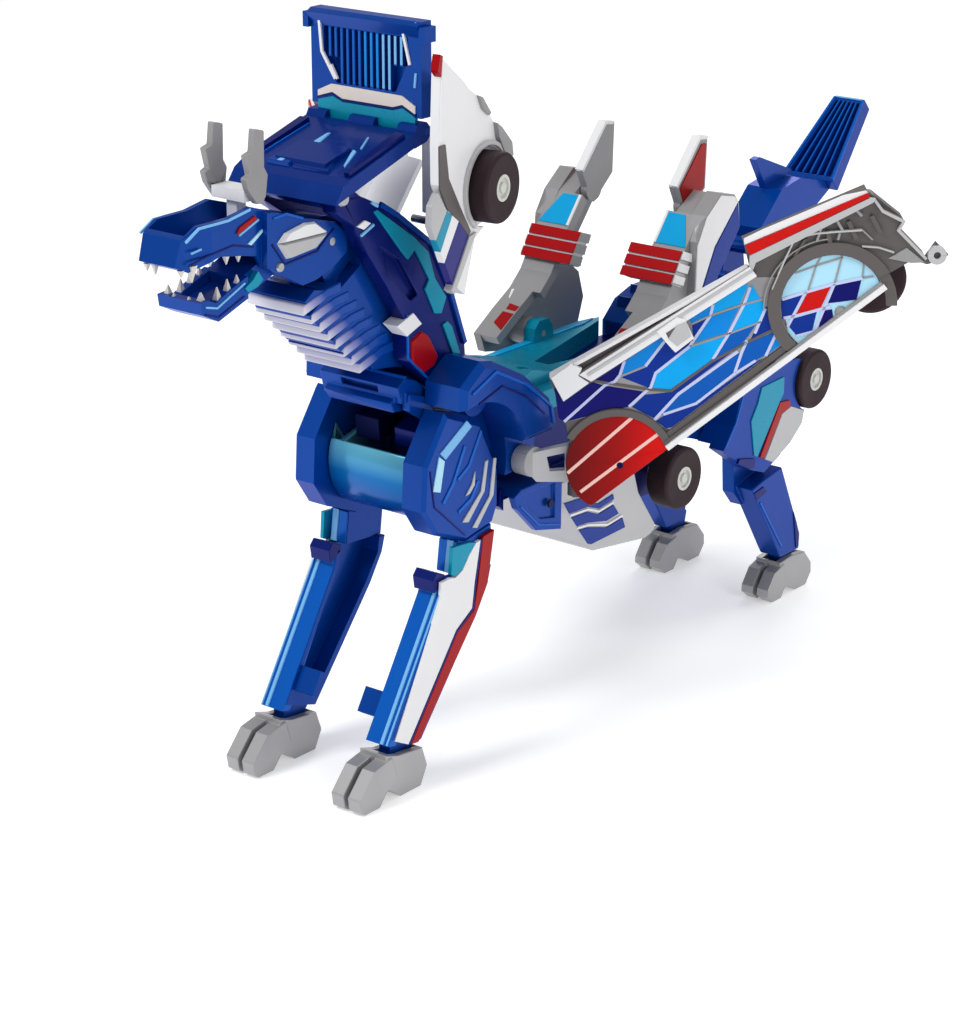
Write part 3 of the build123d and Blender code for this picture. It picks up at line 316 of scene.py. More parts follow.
def piece(name, body, shapes, edge=TRIM_EDGE):
    """One mesh made of several solid plates; each is (look, place, low, high, outline[, taper])."""
    build = bmesh.new()
    looks = []
    for look, place, low, high, outline, *taper in shapes:
        if look not in looks:
            looks.append(look)
        shrink = taper[0] if taper else 1.0
        middle = (sum(u for u, v in outline) / len(outline), sum(v for u, v in outline) / len(outline))
        foot = [build.verts.new(place(u, v, low)) for u, v in outline]
        head = [build.verts.new(place(middle[0] + (u - middle[0]) * shrink,
                                      middle[1] + (v - middle[1]) * shrink, high))
                for u, v in outline]
        faces = [build.faces.new(foot[::-1]), build.faces.new(head)]
        for index in range(len(outline)):
            after = (index + 1) % len(outline)
            faces.append(build.faces.new((foot[index], foot[after], head[after], head[index])))
        for face in faces:
            face.material_index = looks.index(look)
    bmesh.ops.recalc_face_normals(build, faces=build.faces)
    mesh = bpy.data.meshes.new(name)
    build.to_mesh(mesh)
    build.free()
    thing = bpy.data.objects.new(name, mesh)
    bpy.context.scene.collection.objects.link(thing)
    for look in looks:
        mesh.materials.append(MATERIALS[look])
    if edge:
        round_edges(thing, edge)
    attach(thing, body)
    return thing


# ---- wings -------------------------------------------------------------------------------

SILL_START, SILL_END = (10.3, -35.2), (84.6, 24.2)
SILL_SLOPE = (SILL_END[1] - SILL_START[1]) / (SILL_END[0] - SILL_START[0])
FRONT_ARCH = (16.9, -23.7)
REAR_ARCH = (71.1, 19.3)
ARCH_R = 13.3
DISC_FADE_FROM, DISC_FADE_TO = 3.5, 30
DISC_REDS = ((0, (84, 2, 4)), (1, (226, 6, 4)), (0.5, (150, 3, 5)))


def above_sill(points, lift=0.0):
    """Points moved up on to the sill line where they fall below it."""
    return [(u, max(v, SILL_START[1] + lift + (u - SILL_START[0]) * SILL_SLOPE)) for u, v in points]


WING_CELLS = (
    ("deep", [(0.3, -2.6), (2.5, -6), (9.3, -1), (13, -2.2), (3, -12), (1.6, -11)]),
    ("deep", [(9.8, -0.8), (15.4, -1.6), (17, 0.4), (18.4, 4.2), (12, 2)]),
    ("azure", [(17.5, 0.5), (18.7, 4.4), (27.2, 11.2), (28.2, 9.8), (23.6, 3.3)]),
    ("deep", [(13.6, -2.3), (23.2, -3.8), (19.6, -7.9), (9, -10.5), (3.6, -12)]),
    ("marine", [(17.4, 0.1), (23.9, 2.8), (28.6, 9.6), (31, 7.3), (35.1, 9.4), (34.6, 8.4), (26.1, 1.4),
                (24.9, -2.9)]),
    ("bright", [(25.4, -2.8), (26.7, 1.1), (35.2, 8.2), (44, 11.1), (40.6, 4.6), (30.2, -3.2)]),
    ("azure", [(36, 9.2), (44.3, 12.0), (47.4, 18.8), (40.5, 16.3)]),
    ("marine", [(35.4, 14), (36, 9.8), (39.9, 16.3), (38.4, 15.6)]),
    ("bright", [(40.7, 17.1), (47.5, 19.6), (49.4, 24.5), (48, 25.6), (41.2, 21.4)]),
    ("azure", [(33.4, 16.9), (40.4, 20.8), (40.2, 17.0), (35.4, 14.4)]),
    ("bright", [(45.3, 12.2), (52.2, 14.7), (53.9, 19), (50.3, 24.8), (48.4, 19.6)]),
    ("cobalt", [(41.4, 5), (47, 7.6), (49.8, 11), (51.6, 14), (45, 11.6)]),
    ("marine", [(52.3, 14.5), (54.3, 19), (57, 15.2), (57.4, 13.7), (50.6, 10.4)]),
    ("cobalt", [(49.8, 9.1), (57.2, 12.6), (54.8, 6.3), (52, 4.6), (47, 1.5), (48.7, 6.6)]),
    ("azure", [(57.9, 12.6), (60.4, 10.6), (55.2, 6.3)]),
    ("cobalt", [(32.5, -4.7), (47.3, 6.6), (48.1, 6.1), (46.2, 1), (37.2, -6.6), (30, -9.3),
                (27.6, -10.4)]),
    ("marine", [(23.8, -4.7), (30.3, -4), (40.9, 4.2), (46.4, 7.3), (32, -4.2), (26.2, -11),
                (20.5, -8.0)]),
    ("marine", [(29.3, -10), (37.2, -7.2), (52, 4.2), (54, 5.2), (31, -13.4), (29.4, -13.8),
                (26.8, -11.8)]),
)
WING_LINES = (
    ("lilac", 0.75, [(3, -12), (13.4, -2.1), (15.8, -1.2), (17.2, 0.6), (18.3, 4.4)]),
    ("lilac", 0.75, [(19.7, -7.9), (23.4, -4.3), (25.2, -2.7), (26.4, 1.2), (34.9, 8.3), (36.3, 10.6),
                     (40.1, 16.6), (40.6, 19.4)]),
    ("lilac", 0.75, [(23.7, 3.0), (28.5, 9.7)]),
    ("lilac", 0.75, [(41, 4.9), (45, 12), (48.5, 19.5), (49.9, 24)]),
    ("lilac", 0.75, [(51.5, 11.8), (54, 18.4)]),
    ("lilac", 0.75, [(46.7, 1.3), (48.3, 6.7), (49.6, 10)]),
    ("lilac", 0.75, [(54.5, 5.8), (57.7, 13.4)]),
    ("lilac", 0.8, [(26.3, -11.5), (32.3, -4.5), (47.3, 7)]),
    ("lilac", 0.7, [(28.6, -10), (37, -7), (46.5, 0.9), (52, 4.6)]),
    ("slate", 0.7, [(9.5, -0.8), (25, -3.3), (30.5, -3.6), (40.8, 4.4), (49.8, 9.5), (58, 13.8)]),
    ("grey", 0.55, [(17.4, 0.3), (23.7, 3.0)]),
    ("grey", 0.5, [(34.9, 8.3), (44.3, 11.5), (53, 14.9)]),
    ("grey", 0.5, [(35.2, 14.2), (40.4, 16.7), (48, 19.4), (53.6, 21)]),
)
ARCH_CELLS = (
    ("marine", [(57.9, 20.4), (63.4, 22.2), (60.8, 16), (58.4, 15.6)]),
    ("scarlet", [(64.6, 22.6), (70.5, 24.4), (68.2, 18.8), (61.8, 16.8)]),
    ("deep", [(71.7, 24.7), (78.1, 25.9), (77.1, 20.8), (73, 20.2), (69.7, 19.8)]),
    ("marine", [(61.2, 15.7), (67.1, 17.5), (66.2, 12.7), (62, 11.5), (60.2, 13.6)]),
    ("deep", [(68.5, 17.8), (71, 18.2), (71.4, 15.6), (67.8, 13.3)]),
    ("ice", [(78.7, 26.1), (81.4, 26.8), (83.0, 25), (77.9, 21.3)]),
)
ARCH_LINES = (
    ("lilac", 0.75, [(58.2, 20.8), (64.6, 22.9), (71.3, 24.9), (78.6, 26.5)]),
    ("lilac", 0.75, [(59.8, 13.6), (64.2, 23.0)]),
    ("lilac", 0.75, [(66.9, 12.8), (71.3, 25.0)]),
    ("lilac", 0.75, [(58.7, 15.9), (61.5, 16.4), (67.6, 18.1), (70.6, 19.0)]),
    ("lilac", 0.6, [(62, 11.1), (66.9, 12.5)]),
    ("grey", 0.45, [(64.7, 23.2), (66.4, 29.4), (67.6, 32.1)]),
    ("grey", 0.45, [(71.4, 25.2), (73.0, 32.4)]),
    ("grey", 0.45, [(78.4, 26.6), (78.5, 30.2)]),
    ("grey", 0.45, [(61.2, 27.7), (66.2, 29.6), (73.2, 31.9)]),
    ("grey", 0.45, [(78.4, 26.6), (81.0, 26.9)]),
)

for side, hand in SIDES:
    place = wing_face(side)
    body = "wing_" + hand
    base = [(0.2, -2.4), (2.6, -6.2), (8.5, -1.6), (51.0, 26.6), (57.0, 26.6), (60.4, 10.2),
            (30.6, -14.2), (16.9, -9), (3, -12.2)]
    shapes = [("grey", place, -0.1, 0.12, base)]
    shapes += [(look, place, 0, PRINT_TOP, outline) for look, outline in WING_CELLS]
    shapes += [(look, place, 0, LINE_TOP, ribbon(points, width)) for look, width, points in WING_LINES]
    piece("wing_print_" + hand, body, shapes, 0)

    shapes = [("ice", place, -0.1, 0.12, above_sill(circle(REAR_ARCH, ARCH_R - 0.1), 0.4))]
    shapes += [(look, place, 0, PRINT_TOP, outline) for look, outline in ARCH_CELLS]
    shapes += [(look, place, 0, LINE_TOP, ribbon(points, width)) for look, width, points in ARCH_LINES]
    shapes.append(("grey", place, 0, 0.9, circle((73.2, 17.6), 1.7, steps=10), 0.7))
    piece("arch_print_" + hand, body, shapes, 0)

    disc = above_sill(circle(FRONT_ARCH, ARCH_R, steps=64), 0.2)
    shapes = [("scarlet", place, -0.2, 0.5, disc)]
    for start, end in (((4.0, -26.0), (20.5, -10.8)), ((7.4, -31.2), (27.4, -15.2))):
        shapes.append(("pink", place, 0.3, 0.62, ribbon([start, end], 0.9)))
    shapes.append(("ink", place, 0.3, 0.66, circle((17.6, -23.8), 0.9, steps=12)))
    disc_piece = piece("arch_disc_" + hand, body, shapes, FINE_EDGE)
    run = (place(1, 0, 0) - place(0, 0, 0)).normalized()
    fade = (run, run.dot(place(DISC_FADE_FROM, 0, 0)), run.dot(place(DISC_FADE_TO, 0, 0)), DISC_REDS)
    disc_piece.data.materials[0] = plastic("disc_red_" + hand, (150, 0, 0), 0.34, fade=fade)

    shapes = [
        ("slate", place, -0.2, 1.0, ring(FRONT_ARCH, ARCH_R + 0.05, 15.3, 22, 150)),
        ("slate", place, -0.2, 0.6, [(29.4, -14.9), (61, 10.4), (62.2, 9.4), (31, -17.2), (29.9, -16.6)]),
        ("white", place, 0.4, 1.9, ribbon([(29.6, -18.8), (84.2, 24.6)], 1.5)),
        ("grey", place, 0.0, 1.2, ribbon([(30.4, -17.6), (83.4, 25.2)], 1.2)),
    ]
    piece("sill_trim_" + hand, body, shapes)

    shapes = [
        ("white", place, 1.0, 2.2, [(6.6, 1.2), (9.8, -0.6), (51.4, 27.4), (49.5, 29.8)]),
        ("silver", place, 2.0, 2.5, ribbon([(8.8, 1.2), (50.0, 28.9)], 0.9)),
        ("white", place, 1.0, 2.4, [(-0.6, 0.4), (4.3, 4.0), (7.4, 3.0), (6.4, 1.0), (9.2, -0.9),
                                    (2.7, -5.9)]),
        ("white", place, 1.2, 2.9, [(26.2, 13.0), (31.4, 16.8), (33.4, 16.2), (35.8, 11.2), (31.2, 7.4),
                                    (30.2, 8.4)]),
        ("silver", place, 2.8, 3.2, [(31.2, 14.6), (33.6, 15.6), (35, 11.8), (31.6, 9.2), (29.2, 11.2)]),
        ("slate", place, 1.6, 3.05, [(28.6, 12.6), (31.0, 14.3), (32.2, 13.2), (29.4, 10.9)]),
        ("white", place, -2.5, 1.3, ribbon([(-0.7, 0.0), (49.4, 29.2)], 1.0)),
    ]
    piece("window_rail_" + hand, body, shapes)

    shapes = [
        ("white", place, 1.0, 1.5, [(48.0, 35.4), (78.6, 48.9), (78.1, 49.4), (72.4, 48.2), (61.2, 43.2),
                                    (52.5, 39.4), (47.8, 37.0)]),
        ("scarlet", place, 1.1, 1.9, [(48.2, 35.3), (78.6, 48.9), (79.0, 47.9), (49.4, 32.8)]),
        ("silver", place, 0.9, 1.8, [(49.4, 32.7), (79.2, 47.7), (80.6, 47.4), (80.0, 46.4), (51.0, 30.8),
                                     (50.4, 28.9), (49.4, 29.4)]),
        ("slate", place, 0.0, 0.8, ring(REAR_ARCH, ARCH_R + 0.2, 16.4, 0, 236)),
        ("grey", place, 0.6, 1.0, ribbon(circle(REAR_ARCH, 17.6, 96, 184, 14), 0.35)),
        # Painted highlight: a thin light arc on the fender.
        ("silver", place, 0.0, 1.2, ribbon([(60.8, 37.0), (58.4, 31.4), (55.4, 23.6)], 0.45)),
        ("silver", place, 0.0, 1.4, ribbon([(61, 37.2), (66, 38.3), (70.4, 38.7), (77.6, 39.2)], 0.5)),
        ("grey", place, 0.0, 1.3, ribbon([(67.4, 40.2), (66.3, 36.2)], 0.6)),
        ("grey", place, 0.0, 1.3, ribbon([(70.8, 42.2), (72.8, 38.9)], 0.7)),
        ("grey", place, 0.0, 1.3, ribbon([(72.0, 38.4), (71.6, 36.6)], 0.6)),
        ("grey", place, 0.0, 1.3, ribbon([(75.6, 44.6), (77.4, 42.8)], 0.7)),
        ("grey", place, 0.0, 1.0, ribbon([(77.6, 39.2), (80.4, 36.6)], 0.4)),
        # Painted highlight: a curved light line on the fender.
        ("silver", place, 0.0, 1.0, ribbon([(77.8, 34.9), (82.0, 34.6), (86.0, 33.3)], 0.45)),
        ("grey", place, -0.1, 0.4, [(84.6, 31.6), (89.2, 34.4), (94.0, 30.6), (90.6, 30.4)]),
        # Painted highlight along the fender's right edge.
        ("silver", place, 0.0, 1.2, ribbon([(80.2, 47.2), (82.6, 44.0), (88.0, 41.3), (86.8, 39.0),
                                            (94.2, 31.6)], 0.7)),
        ("silver", place, -0.4, 1.2, ring((96.9, 32.6), 0.9, 2.4, 0, 359.9)),
    ]
    piece("fender_trim_" + hand, body, shapes, FINE_EDGE)

# ---- front legs --------------------------------------------------------------------------

for side, hand in SIDES:
    face = side_face(side, outer_x("front_leg_lower_left"))
    across = side_face(side, 0)
    body = "front_leg_" + hand
    white = [(14.8, 53.4), (18.4, 53.6), (20.5, 53.2), (23.4, 54.4), (25.8, 57.4), (28.8, 60.2),
             (31.4, 60.6), (28.4, 49.2), (27.2, 42.6), (20.6, 38.6), (17.6, 33.8), (0.9, 13.2),
             (-4.4, 15.9), (14.6, 49.6)]
    shapes = [
        ("white", face, -0.8, 0.35, white),
        ("teal", face, -0.8, 0.4, [(19.2, 61.8), (26, 61.2), (29, 60.4), (25.6, 57.6), (23.1, 54.6),
                                   (20.4, 53.6), (18.6, 54.4)]),
        ("red", face, -0.8, 0.5, [(31.6, 61.2), (36.4, 61.8), (33.6, 47.7), (28.6, 40.1), (4.8, 12.6),
                                  (1.7, 12.9), (20.9, 37.9), (27.9, 41.9), (29.6, 49.4)]),
        ("navy", face, -0.8, 0.45, ribbon([(31.2, 60.8), (28.6, 49.4), (27.5, 42.3), (20.6, 38.1),
                                           (1.3, 13.2)], 0.8)),
    ]
    piece("leg_stripe_" + hand, body, shapes)
    front = [(16.0, 53.4), (15.0, 49.6), (-6.7, 15.0), (-3.7, 14.4), (15.6, 48.2), (17.0, 53.2)]
    highlight_streak = [(15.0, 52.6), (14.6, 49.8), (-7.0, 15.4), (-6.4, 15.0), (15.2, 49.2), (15.8, 52.6)]
    shapes = [
        ("royal", across, 14.3, 21.9, front),
        # Painted highlights: two sky streaks along the front of the leg channel.
        ("sky", across, 19.2, 20.2, highlight_streak),
        ("sky", across, 21.2, 21.6, highlight_streak),
        ("navy", across, 14.2, 21.0, [(13.4, 50.6), (12.8, 54.2), (14.4, 56.0), (17.6, 54.6),
                                      (17.8, 53.0)]),
        # Painted highlight: a sky streak down the front of the upper post.
        ("sky", across, 18.4, 20.4, [(22.3, 62.2), (21.0, 53.6), (20.5, 53.8), (21.8, 62.4)]),
        ("royal", across, 15.6, 21.3, [(22.5, 62.0), (21.3, 53.6), (20.8, 53.8), (22.0, 62.2)]),
    ]
    piece("leg_channel_" + hand, body, shapes)
    face = side_face(side, outer_x("shoulder_disc_left"))
    shapes = [
        ("sky", face, -0.1, 0.35, [(14.4, 88.3), (25.2, 94.4), (27.2, 92.3), (16.6, 86.2)]),
        ("ice", face, -0.1, 0.35, [(14.0, 87.6), (16.2, 85.9), (14.4, 78.0), (11.5, 79.0)]),
        ("silver", face, -0.1, 0.35, [(24.6, 74.2), (27.2, 76.8), (28.6, 80), (28.4, 76.2),
                                      (26.4, 74.4)]),
        ("silver", face, -0.1, 0.35, [(32.8, 81.4), (34.0, 81.6), (32.4, 73.4), (25.8, 66.8),
                                      (23.2, 67.4), (31.0, 73.8)]),
        ("silver", face, -0.1, 0.35, [(36.3, 81.4), (37.4, 81.2), (36.2, 71.4), (29.4, 64.2),
                                      (27.4, 64.8), (34.6, 71.6)]),
        ("royal", face, -0.1, 0.3, ribbon([(24.6, 87.8), (19.6, 78.8), (15.6, 74.6)], 1.1)),
        ("royal", face, -0.1, 0.3, ribbon([(31.2, 90.2), (26.2, 82), (21.6, 79.4)], 1.0)),
        ("royal", face, -0.1, 0.3, ribbon([(30.0, 77.0), (27.0, 72.8), (21.8, 70.6)], 1.0)),
        ("navy", face, -0.1, 0.25, ribbon([(10.6, 84.6), (12.2, 74.6), (24.6, 63.6)], 0.5)),
    ]
    piece("shoulder_marks_" + hand, body, shapes)

# ---- head --------------------------------------------------------------------------------

SNOUT_X, CHEEK_X, JOWL_X = 7.2, 9.0, 7.0

for side, hand in SIDES:
    snout = side_face(side, SNOUT_X)
    cheek = side_face(side, CHEEK_X)
    jowl = side_face(side, JOWL_X)
    shapes = [
        ("red", snout, -0.1, 0.45, [(-42, 154.0), (-41, 155.3), (-35.6, 157.1), (-34.8, 156.2),
                                    (-41.2, 153.8)]),
        ("sky", snout, -0.1, 0.35, ribbon([(-41, 153.4), (-34.2, 155.9)], 0.55)),
        ("ice", snout, -0.1, 0.4, [(-38.2, 150.8), (-30.4, 154.8), (-33.2, 152.6), (-37.0, 150.3)]),
        ("sky", snout, -0.1, 0.3, ribbon([(-57.0, 152.3), (-53.6, 152.7)], 0.45)),
        # Painted highlight: a sky line along the front and top edge of the snout.
        ("sky", snout, -0.2, 0.3, ribbon([(-58.6, 155.2), (-54.2, 157.6), (-44.4, 157.6), (-36.8, 158.8)],
                                         0.6)),
        ("navy", snout, -0.1, 0.2, ribbon([(-57.8, 149.6), (-51.6, 150.6), (-43, 151.4), (-36, 149.6)],
                                          0.5)),
    ]
    shapes += [
        ("white", cheek, -0.1, 1.3, [(-30.0, 149.4), (-27.4, 151.5), (-20.4, 152.7), (-16.6, 152.3),
                                     (-11.8, 148.9)], 0.82),
        ("silver", cheek, -0.1, 1.2, [(-29.9, 149.3), (-11.9, 148.8), (-16.4, 145.9),
                                      (-26.9, 145.1)], 0.82),
        ("navy", cheek, -0.1, 0.25, ribbon([(-31.6, 149.6), (-27.2, 143.9), (-15.8, 144.8),
                                            (-9.6, 149.2)], 0.5)),
        ("royal", cheek, -0.1, 0.3, ribbon([(-31.0, 155.8), (-26.4, 156.0), (-20.6, 153.8)], 0.6)),
        ("steel", cheek, -0.1, 0.5, circle((-29.0, 143.6), 1.3, steps=14), 0.8),
    ]
    piece("head_marks_" + hand, "head", shapes, FINE_EDGE)
    shapes = [
        ("sky", jowl, -0.1, 0.3, ribbon([(-52.6, 138.6), (-48.8, 137.6), (-39.2, 141.6)], 0.5)),
        ("teal", jowl, -1.4, 0.4, [(-39.4, 140.4), (-36.6, 141.8), (-34.8, 143.6), (-33.0, 141.2),
                                   (-35.0, 139.8), (-38.4, 139.2)]),
        ("navy", jowl, -0.1, 0.2, ribbon([(-52.8, 136.9), (-48.4, 135.3), (-39.4, 138.4)], 0.5)),
    ]
    piece("jaw_marks_" + hand, "jaw", shapes, FINE_EDGE)


TOOTH_POINT = 0.12  # width of a tooth's tip against its root


def teeth(name, body, rows):
    """Row of pointed teeth; each is (x, y, root height, tip height, base size)."""
    shapes = []
    for x, y, root, tip, size in rows:
        for side in (1, -1) if x else (1,):
            corners = circle((side * x, y), size, 45, 405, 4)[:4]
            shapes.append(("tooth", toy, root, tip, corners, TOOTH_POINT))
    piece(name, body, shapes, 0)


teeth("upper_teeth", "head", [(5.8, -55.6, 149.0, 145.0, 1.5), (6.0, -49.6, 150.0, 147.6, 1.1),
                              (6.2, -44.4, 149.6, 147.0, 1.1), (6.3, -40.4, 149.0, 146.8, 1.0),
                              (5.4, -58.6, 148.4, 146.6, 1.0)])
teeth("lower_teeth", "jaw", [(5.2, -52.2, 138.4, 141.8, 1.7), (5.8, -47.4, 139.0, 142.2, 1.2),
                             (5.9, -44.0, 140.4, 143.4, 1.1), (6.0, -40.8, 141.4, 143.8, 1.0),
                             (2.4, -53.2, 139.0, 140.6, 1.0)])

# ---- neck --------------------------------------------------------------------------------

for side, hand in SIDES:
    face = side_face(side, outer_x("neck_frame_left"))
    shapes = [
        ("teal", face, -0.1, 0.5, [(-0.8, 152.3), (0.4, 152.6), (14.2, 143.1), (19.8, 138.2),
                                   (22.4, 130.8), (26.8, 125.2), (24.8, 121.3), (22.2, 121.8),
                                   (18.4, 129.0), (20.0, 131.2), (14.6, 139.9), (11.8, 137.9),
                                   (9.4, 140.4)]),
        ("teal", face, -0.1, 0.5, [(25.4, 118.2), (27.2, 118.7), (29.0, 117.0), (34.2, 104.6),
                                   (33.4, 103.2), (31.8, 104.4)]),
        ("red", face, -0.1, 0.6, [(12.9, 116.8), (16.8, 118.5), (19.4, 117.0), (23.5, 110.3),
                                  (22.0, 108.1), (17.8, 107.2), (13.0, 111.2)], 0.93),
        ("white", face, -4.4, 0.5, [(7.4, 121.8), (13.8, 123.8), (17.0, 120.3), (11.2, 118.3)]),
        ("white", face, -0.1, 0.5, [(20.7, 104.3), (26.4, 105.7), (27.4, 104.2), (26.2, 100.0)]),
        ("white", face, -0.2, 0.5, [(-7.2, 149.9), (-4.2, 150.9), (-2.0, 149.8), (-4.6, 148.7)]),
        ("sky", face, -0.2, 0.5, ribbon([(-5.6, 147.3), (-0.8, 149.2)], 0.7)),
        ("sky", face, -0.2, 0.5, ribbon([(-1.6, 154.9), (0.8, 153.4)], 0.8)),
        ("blue", face, -0.2, 0.8, ribbon([(1.6, 153.8), (8.0, 149.8), (21.2, 140.0), (28.2, 127.0),
                                          (34.2, 111.4)], 1.3)),
        ("royal", face, -0.2, 0.4, ribbon([(11.6, 123.8), (11.9, 112.4), (20.4, 104.6)], 0.6)),
        ("silver", face, -0.2, 1.0, circle((-12.0, 157.6), 1.9, steps=20), 0.75),
        ("steel", face, -0.2, 0.6, circle((31.0, 99.0), 2.6, steps=20), 0.8),
    ]
    piece("neck_inlay_" + hand, "neck", shapes)

THROAT_BANDS = 8
THROAT_TOP = (-21.3, 129.8)
THROAT_PITCH = (2.9, -2.75)
THROAT_HALF = 9.3

shapes = []
across = side_face(1, 0)
for step in range(THROAT_BANDS):
    y = THROAT_TOP[0] + THROAT_PITCH[0] * step
    z = THROAT_TOP[1] + THROAT_PITCH[1] * step
    band = [(y, z), (y + 0.2, z + 2.5), (y + 8.6, z + 5.0), (y + 14.0, z + 5.6), (y + 14.0, z + 3.0),
            (y + 8.8, z + 2.6)]
    shapes.append(("throat", across, -THROAT_HALF, THROAT_HALF, band))
piece("throat_scales", "neck", shapes, 0.35)

# ---- crest -------------------------------------------------------------------------------

CREST_FRONT_Y = 13.6
LOUVRE_PITCH, LOUVRE_HALF = 1.9, 0.36
LOUVRE_TOP, LOUVRE_FOOT = 192.2, 179.0
LOUVRE_CORNER_X, LOUVRE_CORNER_FOOT = 9.0, 185.4


def front(u, v, w):
    """Upright plane across the toy at the face of the louvred crest plate; w points to the nose."""
    return toy(u, CREST_FRONT_Y - w, v)


shapes = [
    ("cream", front, -0.2, 0.45, [(-15.4, 176.2), (-11.0, 178.2), (11.6, 178.0), (15.8, 175.9),
                                  (15.8, 174.0), (11.8, 175.8), (8.8, 174.9), (-7.4, 174.9),
                                  (-10.6, 176.2), (-15.4, 174.7)]),
    ("teal", front, -0.8, 0.35, [(-15.4, 173.9), (-10.6, 175.2), (-7.4, 174.1), (8.8, 174.1),
                                 (11.8, 175.0), (15.8, 173.2), (15.8, 168.6), (4.8, 169.8), (-2.1, 169.8),
                                 (-15.4, 169.4)]),
    ("navy", front, -0.1, 0.5, ribbon([(-15.6, 174.4), (-10.6, 175.8), (-7.4, 174.6), (8.8, 174.6),
                                       (11.8, 175.5), (16, 173.6)], 0.5)),
    ("white", front, -0.2, 0.5, ribbon([(-14.6, 193.6), (-13.9, 186.0), (-9.6, 179.6)], 0.8)),
    ("white", front, -0.2, 0.5, ribbon([(-11.0, 183.0), (-9.0, 179.6)], 0.6)),
    ("white", front, -0.2, 0.5, ribbon([(12.2, 193.2), (14.2, 185.8)], 0.7)),
    ("sky", front, -0.2, 0.4, ribbon([(-15.5, 196.0), (0, 195.8), (12.5, 195.6)], 0.5)),
    ("white", front, -0.2, 0.45, ribbon([(12.0, 195.5), (16.4, 196.1)], 0.5)),
    ("sky", front, -0.2, 0.35, ribbon([(16.0, 184.0), (15.6, 180.4)], 0.6)),
]
for bar in range(-6, 7):
    x = bar * LOUVRE_PITCH
    foot = LOUVRE_FOOT if abs(x) < LOUVRE_CORNER_X else LOUVRE_CORNER_FOOT
    # The bars step from cobalt through royal and azure to sky across the panel: painted light, lighter
    # towards the toy's left side.
    look = "cobalt" if bar < -3 else "royal" if bar < 0 else "azure" if bar < 3 else "sky"
    outline = [(x - LOUVRE_HALF, foot), (x + LOUVRE_HALF, foot), (x + LOUVRE_HALF, LOUVRE_TOP),
               (x - LOUVRE_HALF, LOUVRE_TOP)]
    shapes.append((look, front, -1.2, 0.12, outline))
piece("crest_front_trim", "crest_lid", shapes, FINE_EDGE)

lid = slope_face((-12.8, 163.0), (11.6, 170.2))
shapes = [
    ("sky", lid, -0.2, 0.4, [(-4.6, 17.6), (-3.8, 18.2), (-3.0, 12.8), (-4.4, 12.2), (-5.0, 13.2)]),
    ("sky", lid, -0.2, 0.4, [(8.2, 12.4), (9.6, 11.9), (12.2, 4.2), (11.4, 4.8), (8.8, 10.6)]),
    ("sky", lid, -0.2, 0.4, ribbon([(7.6, 19.0), (9.8, 13.4)], 0.5)),
    ("navy", lid, -0.4, 1.2, [(-16.8, 0.6), (-15.0, 0.6), (-13.8, 22.0), (-16.8, 22.0)]),
    ("navy", lid, -0.4, 1.2, [(16.8, 0.6), (15.0, 0.6), (13.8, 22.0), (16.8, 22.0)]),
    ("royal", lid, -0.2, 0.35, ribbon([(-14.6, 2.0), (-13.2, 21.0)], 0.5)),
    ("royal", lid, -0.2, 0.35, ribbon([(14.6, 2.0), (13.2, 21.0)], 0.5)),
    ("blue", lid, -0.2, 1.0, [(-10.0, 0.4), (-2.4, 0.4), (-2.4, 5.4), (-8.6, 5.4)], 0.9),
    ("dusk", lid, -0.2, 0.7, [(-1.6, 0.4), (10.6, 0.4), (8.6, 5.0), (-1.6, 5.0)], 0.9),
    ("sky", lid, 0.5, 1.1, [(-6.6, 1.0), (-5.0, 1.0), (-4.4, 4.8), (-5.8, 4.8)]),
]
piece("crest_deck_trim", "crest_base", shapes, 0.15)

# ---- collar shells -----------------------------------------------------------------------

for side, hand in SIDES:
    place = collar_face(side)
    shapes = [
        ("white", place, -0.2, 0.4, [(-13.6, 189.0), (-3.0, 181.6), (0.4, 178.6), (-0.4, 176.4),
                                     (-11.6, 169.2), (-14.8, 169.0)]),
        ("slate", place, -0.2, 0.35, [(-15.0, 168.0), (-12.0, 167.9), (-10.4, 159.2), (-5.0, 151.2),
                                      (0.4, 143.8), (-0.8, 142.8), (-5.6, 147.6), (-11.0, 151.6),
                                      (-14.8, 157.4)]),
        ("silver", place, -1.6, 0.3, [(-15.4, 156.6), (-11.4, 151.4), (-16.8, 145.2), (-19.0, 149.0),
                                      (-18.4, 154.0)]),
        ("teal", place, -1.6, 0.3, [(-11.4, 151.4), (-8.8, 149.8), (-14.6, 141.8), (-16.8, 145.2)]),
        ("white", place, -1.6, 0.3, [(-8.8, 149.8), (-5.6, 147.6), (-12.8, 138.6), (-14.6, 141.8)]),
        ("indigo", place, -1.6, 0.3, [(-5.6, 147.6), (-0.9, 142.8), (-9.0, 132.2), (-12.8, 138.6)]),
        ("silver", place, -1.6, 0.7, [(-0.9, 142.8), (2.6, 143.2), (-8.4, 129.8), (-10.2, 131.2),
                                      (-9.0, 132.2)]),
        ("silver", place, -2.0, 1.0, ring((8.2, 153.6), 10.3, 11.4, 36, 236)),
        ("grey", place, -2.4, 1.3, [(11.8, 169.4), (14.4, 167.8), (20.2, 162.6), (21.0, 158.8),
                                    (19.2, 157.6), (15.8, 160.6), (12.8, 165.2)], 0.9),
        ("grey", place, -1.2, 0.9, [(3.4, 177.4), (5.4, 176.6), (10.0, 171.6), (9.2, 171.0),
                                    (5.6, 173.4)], 0.9),
        ("red", place, -1.6, 0.5, [(-14.8, 190.2), (-13.4, 189.6), (-14.2, 184.6), (-16.0, 186.4)]),
    ]
    piece("collar_panels_" + hand, "collar_" + hand, shapes)

# ---- back fins ---------------------------------------------------------------------------

FIN_BARS = 3
FIN_BAR_START = (110.2, 112.6)
FIN_BAR_PITCH = (1.9, 2.9)
BLADE_X = 17.0

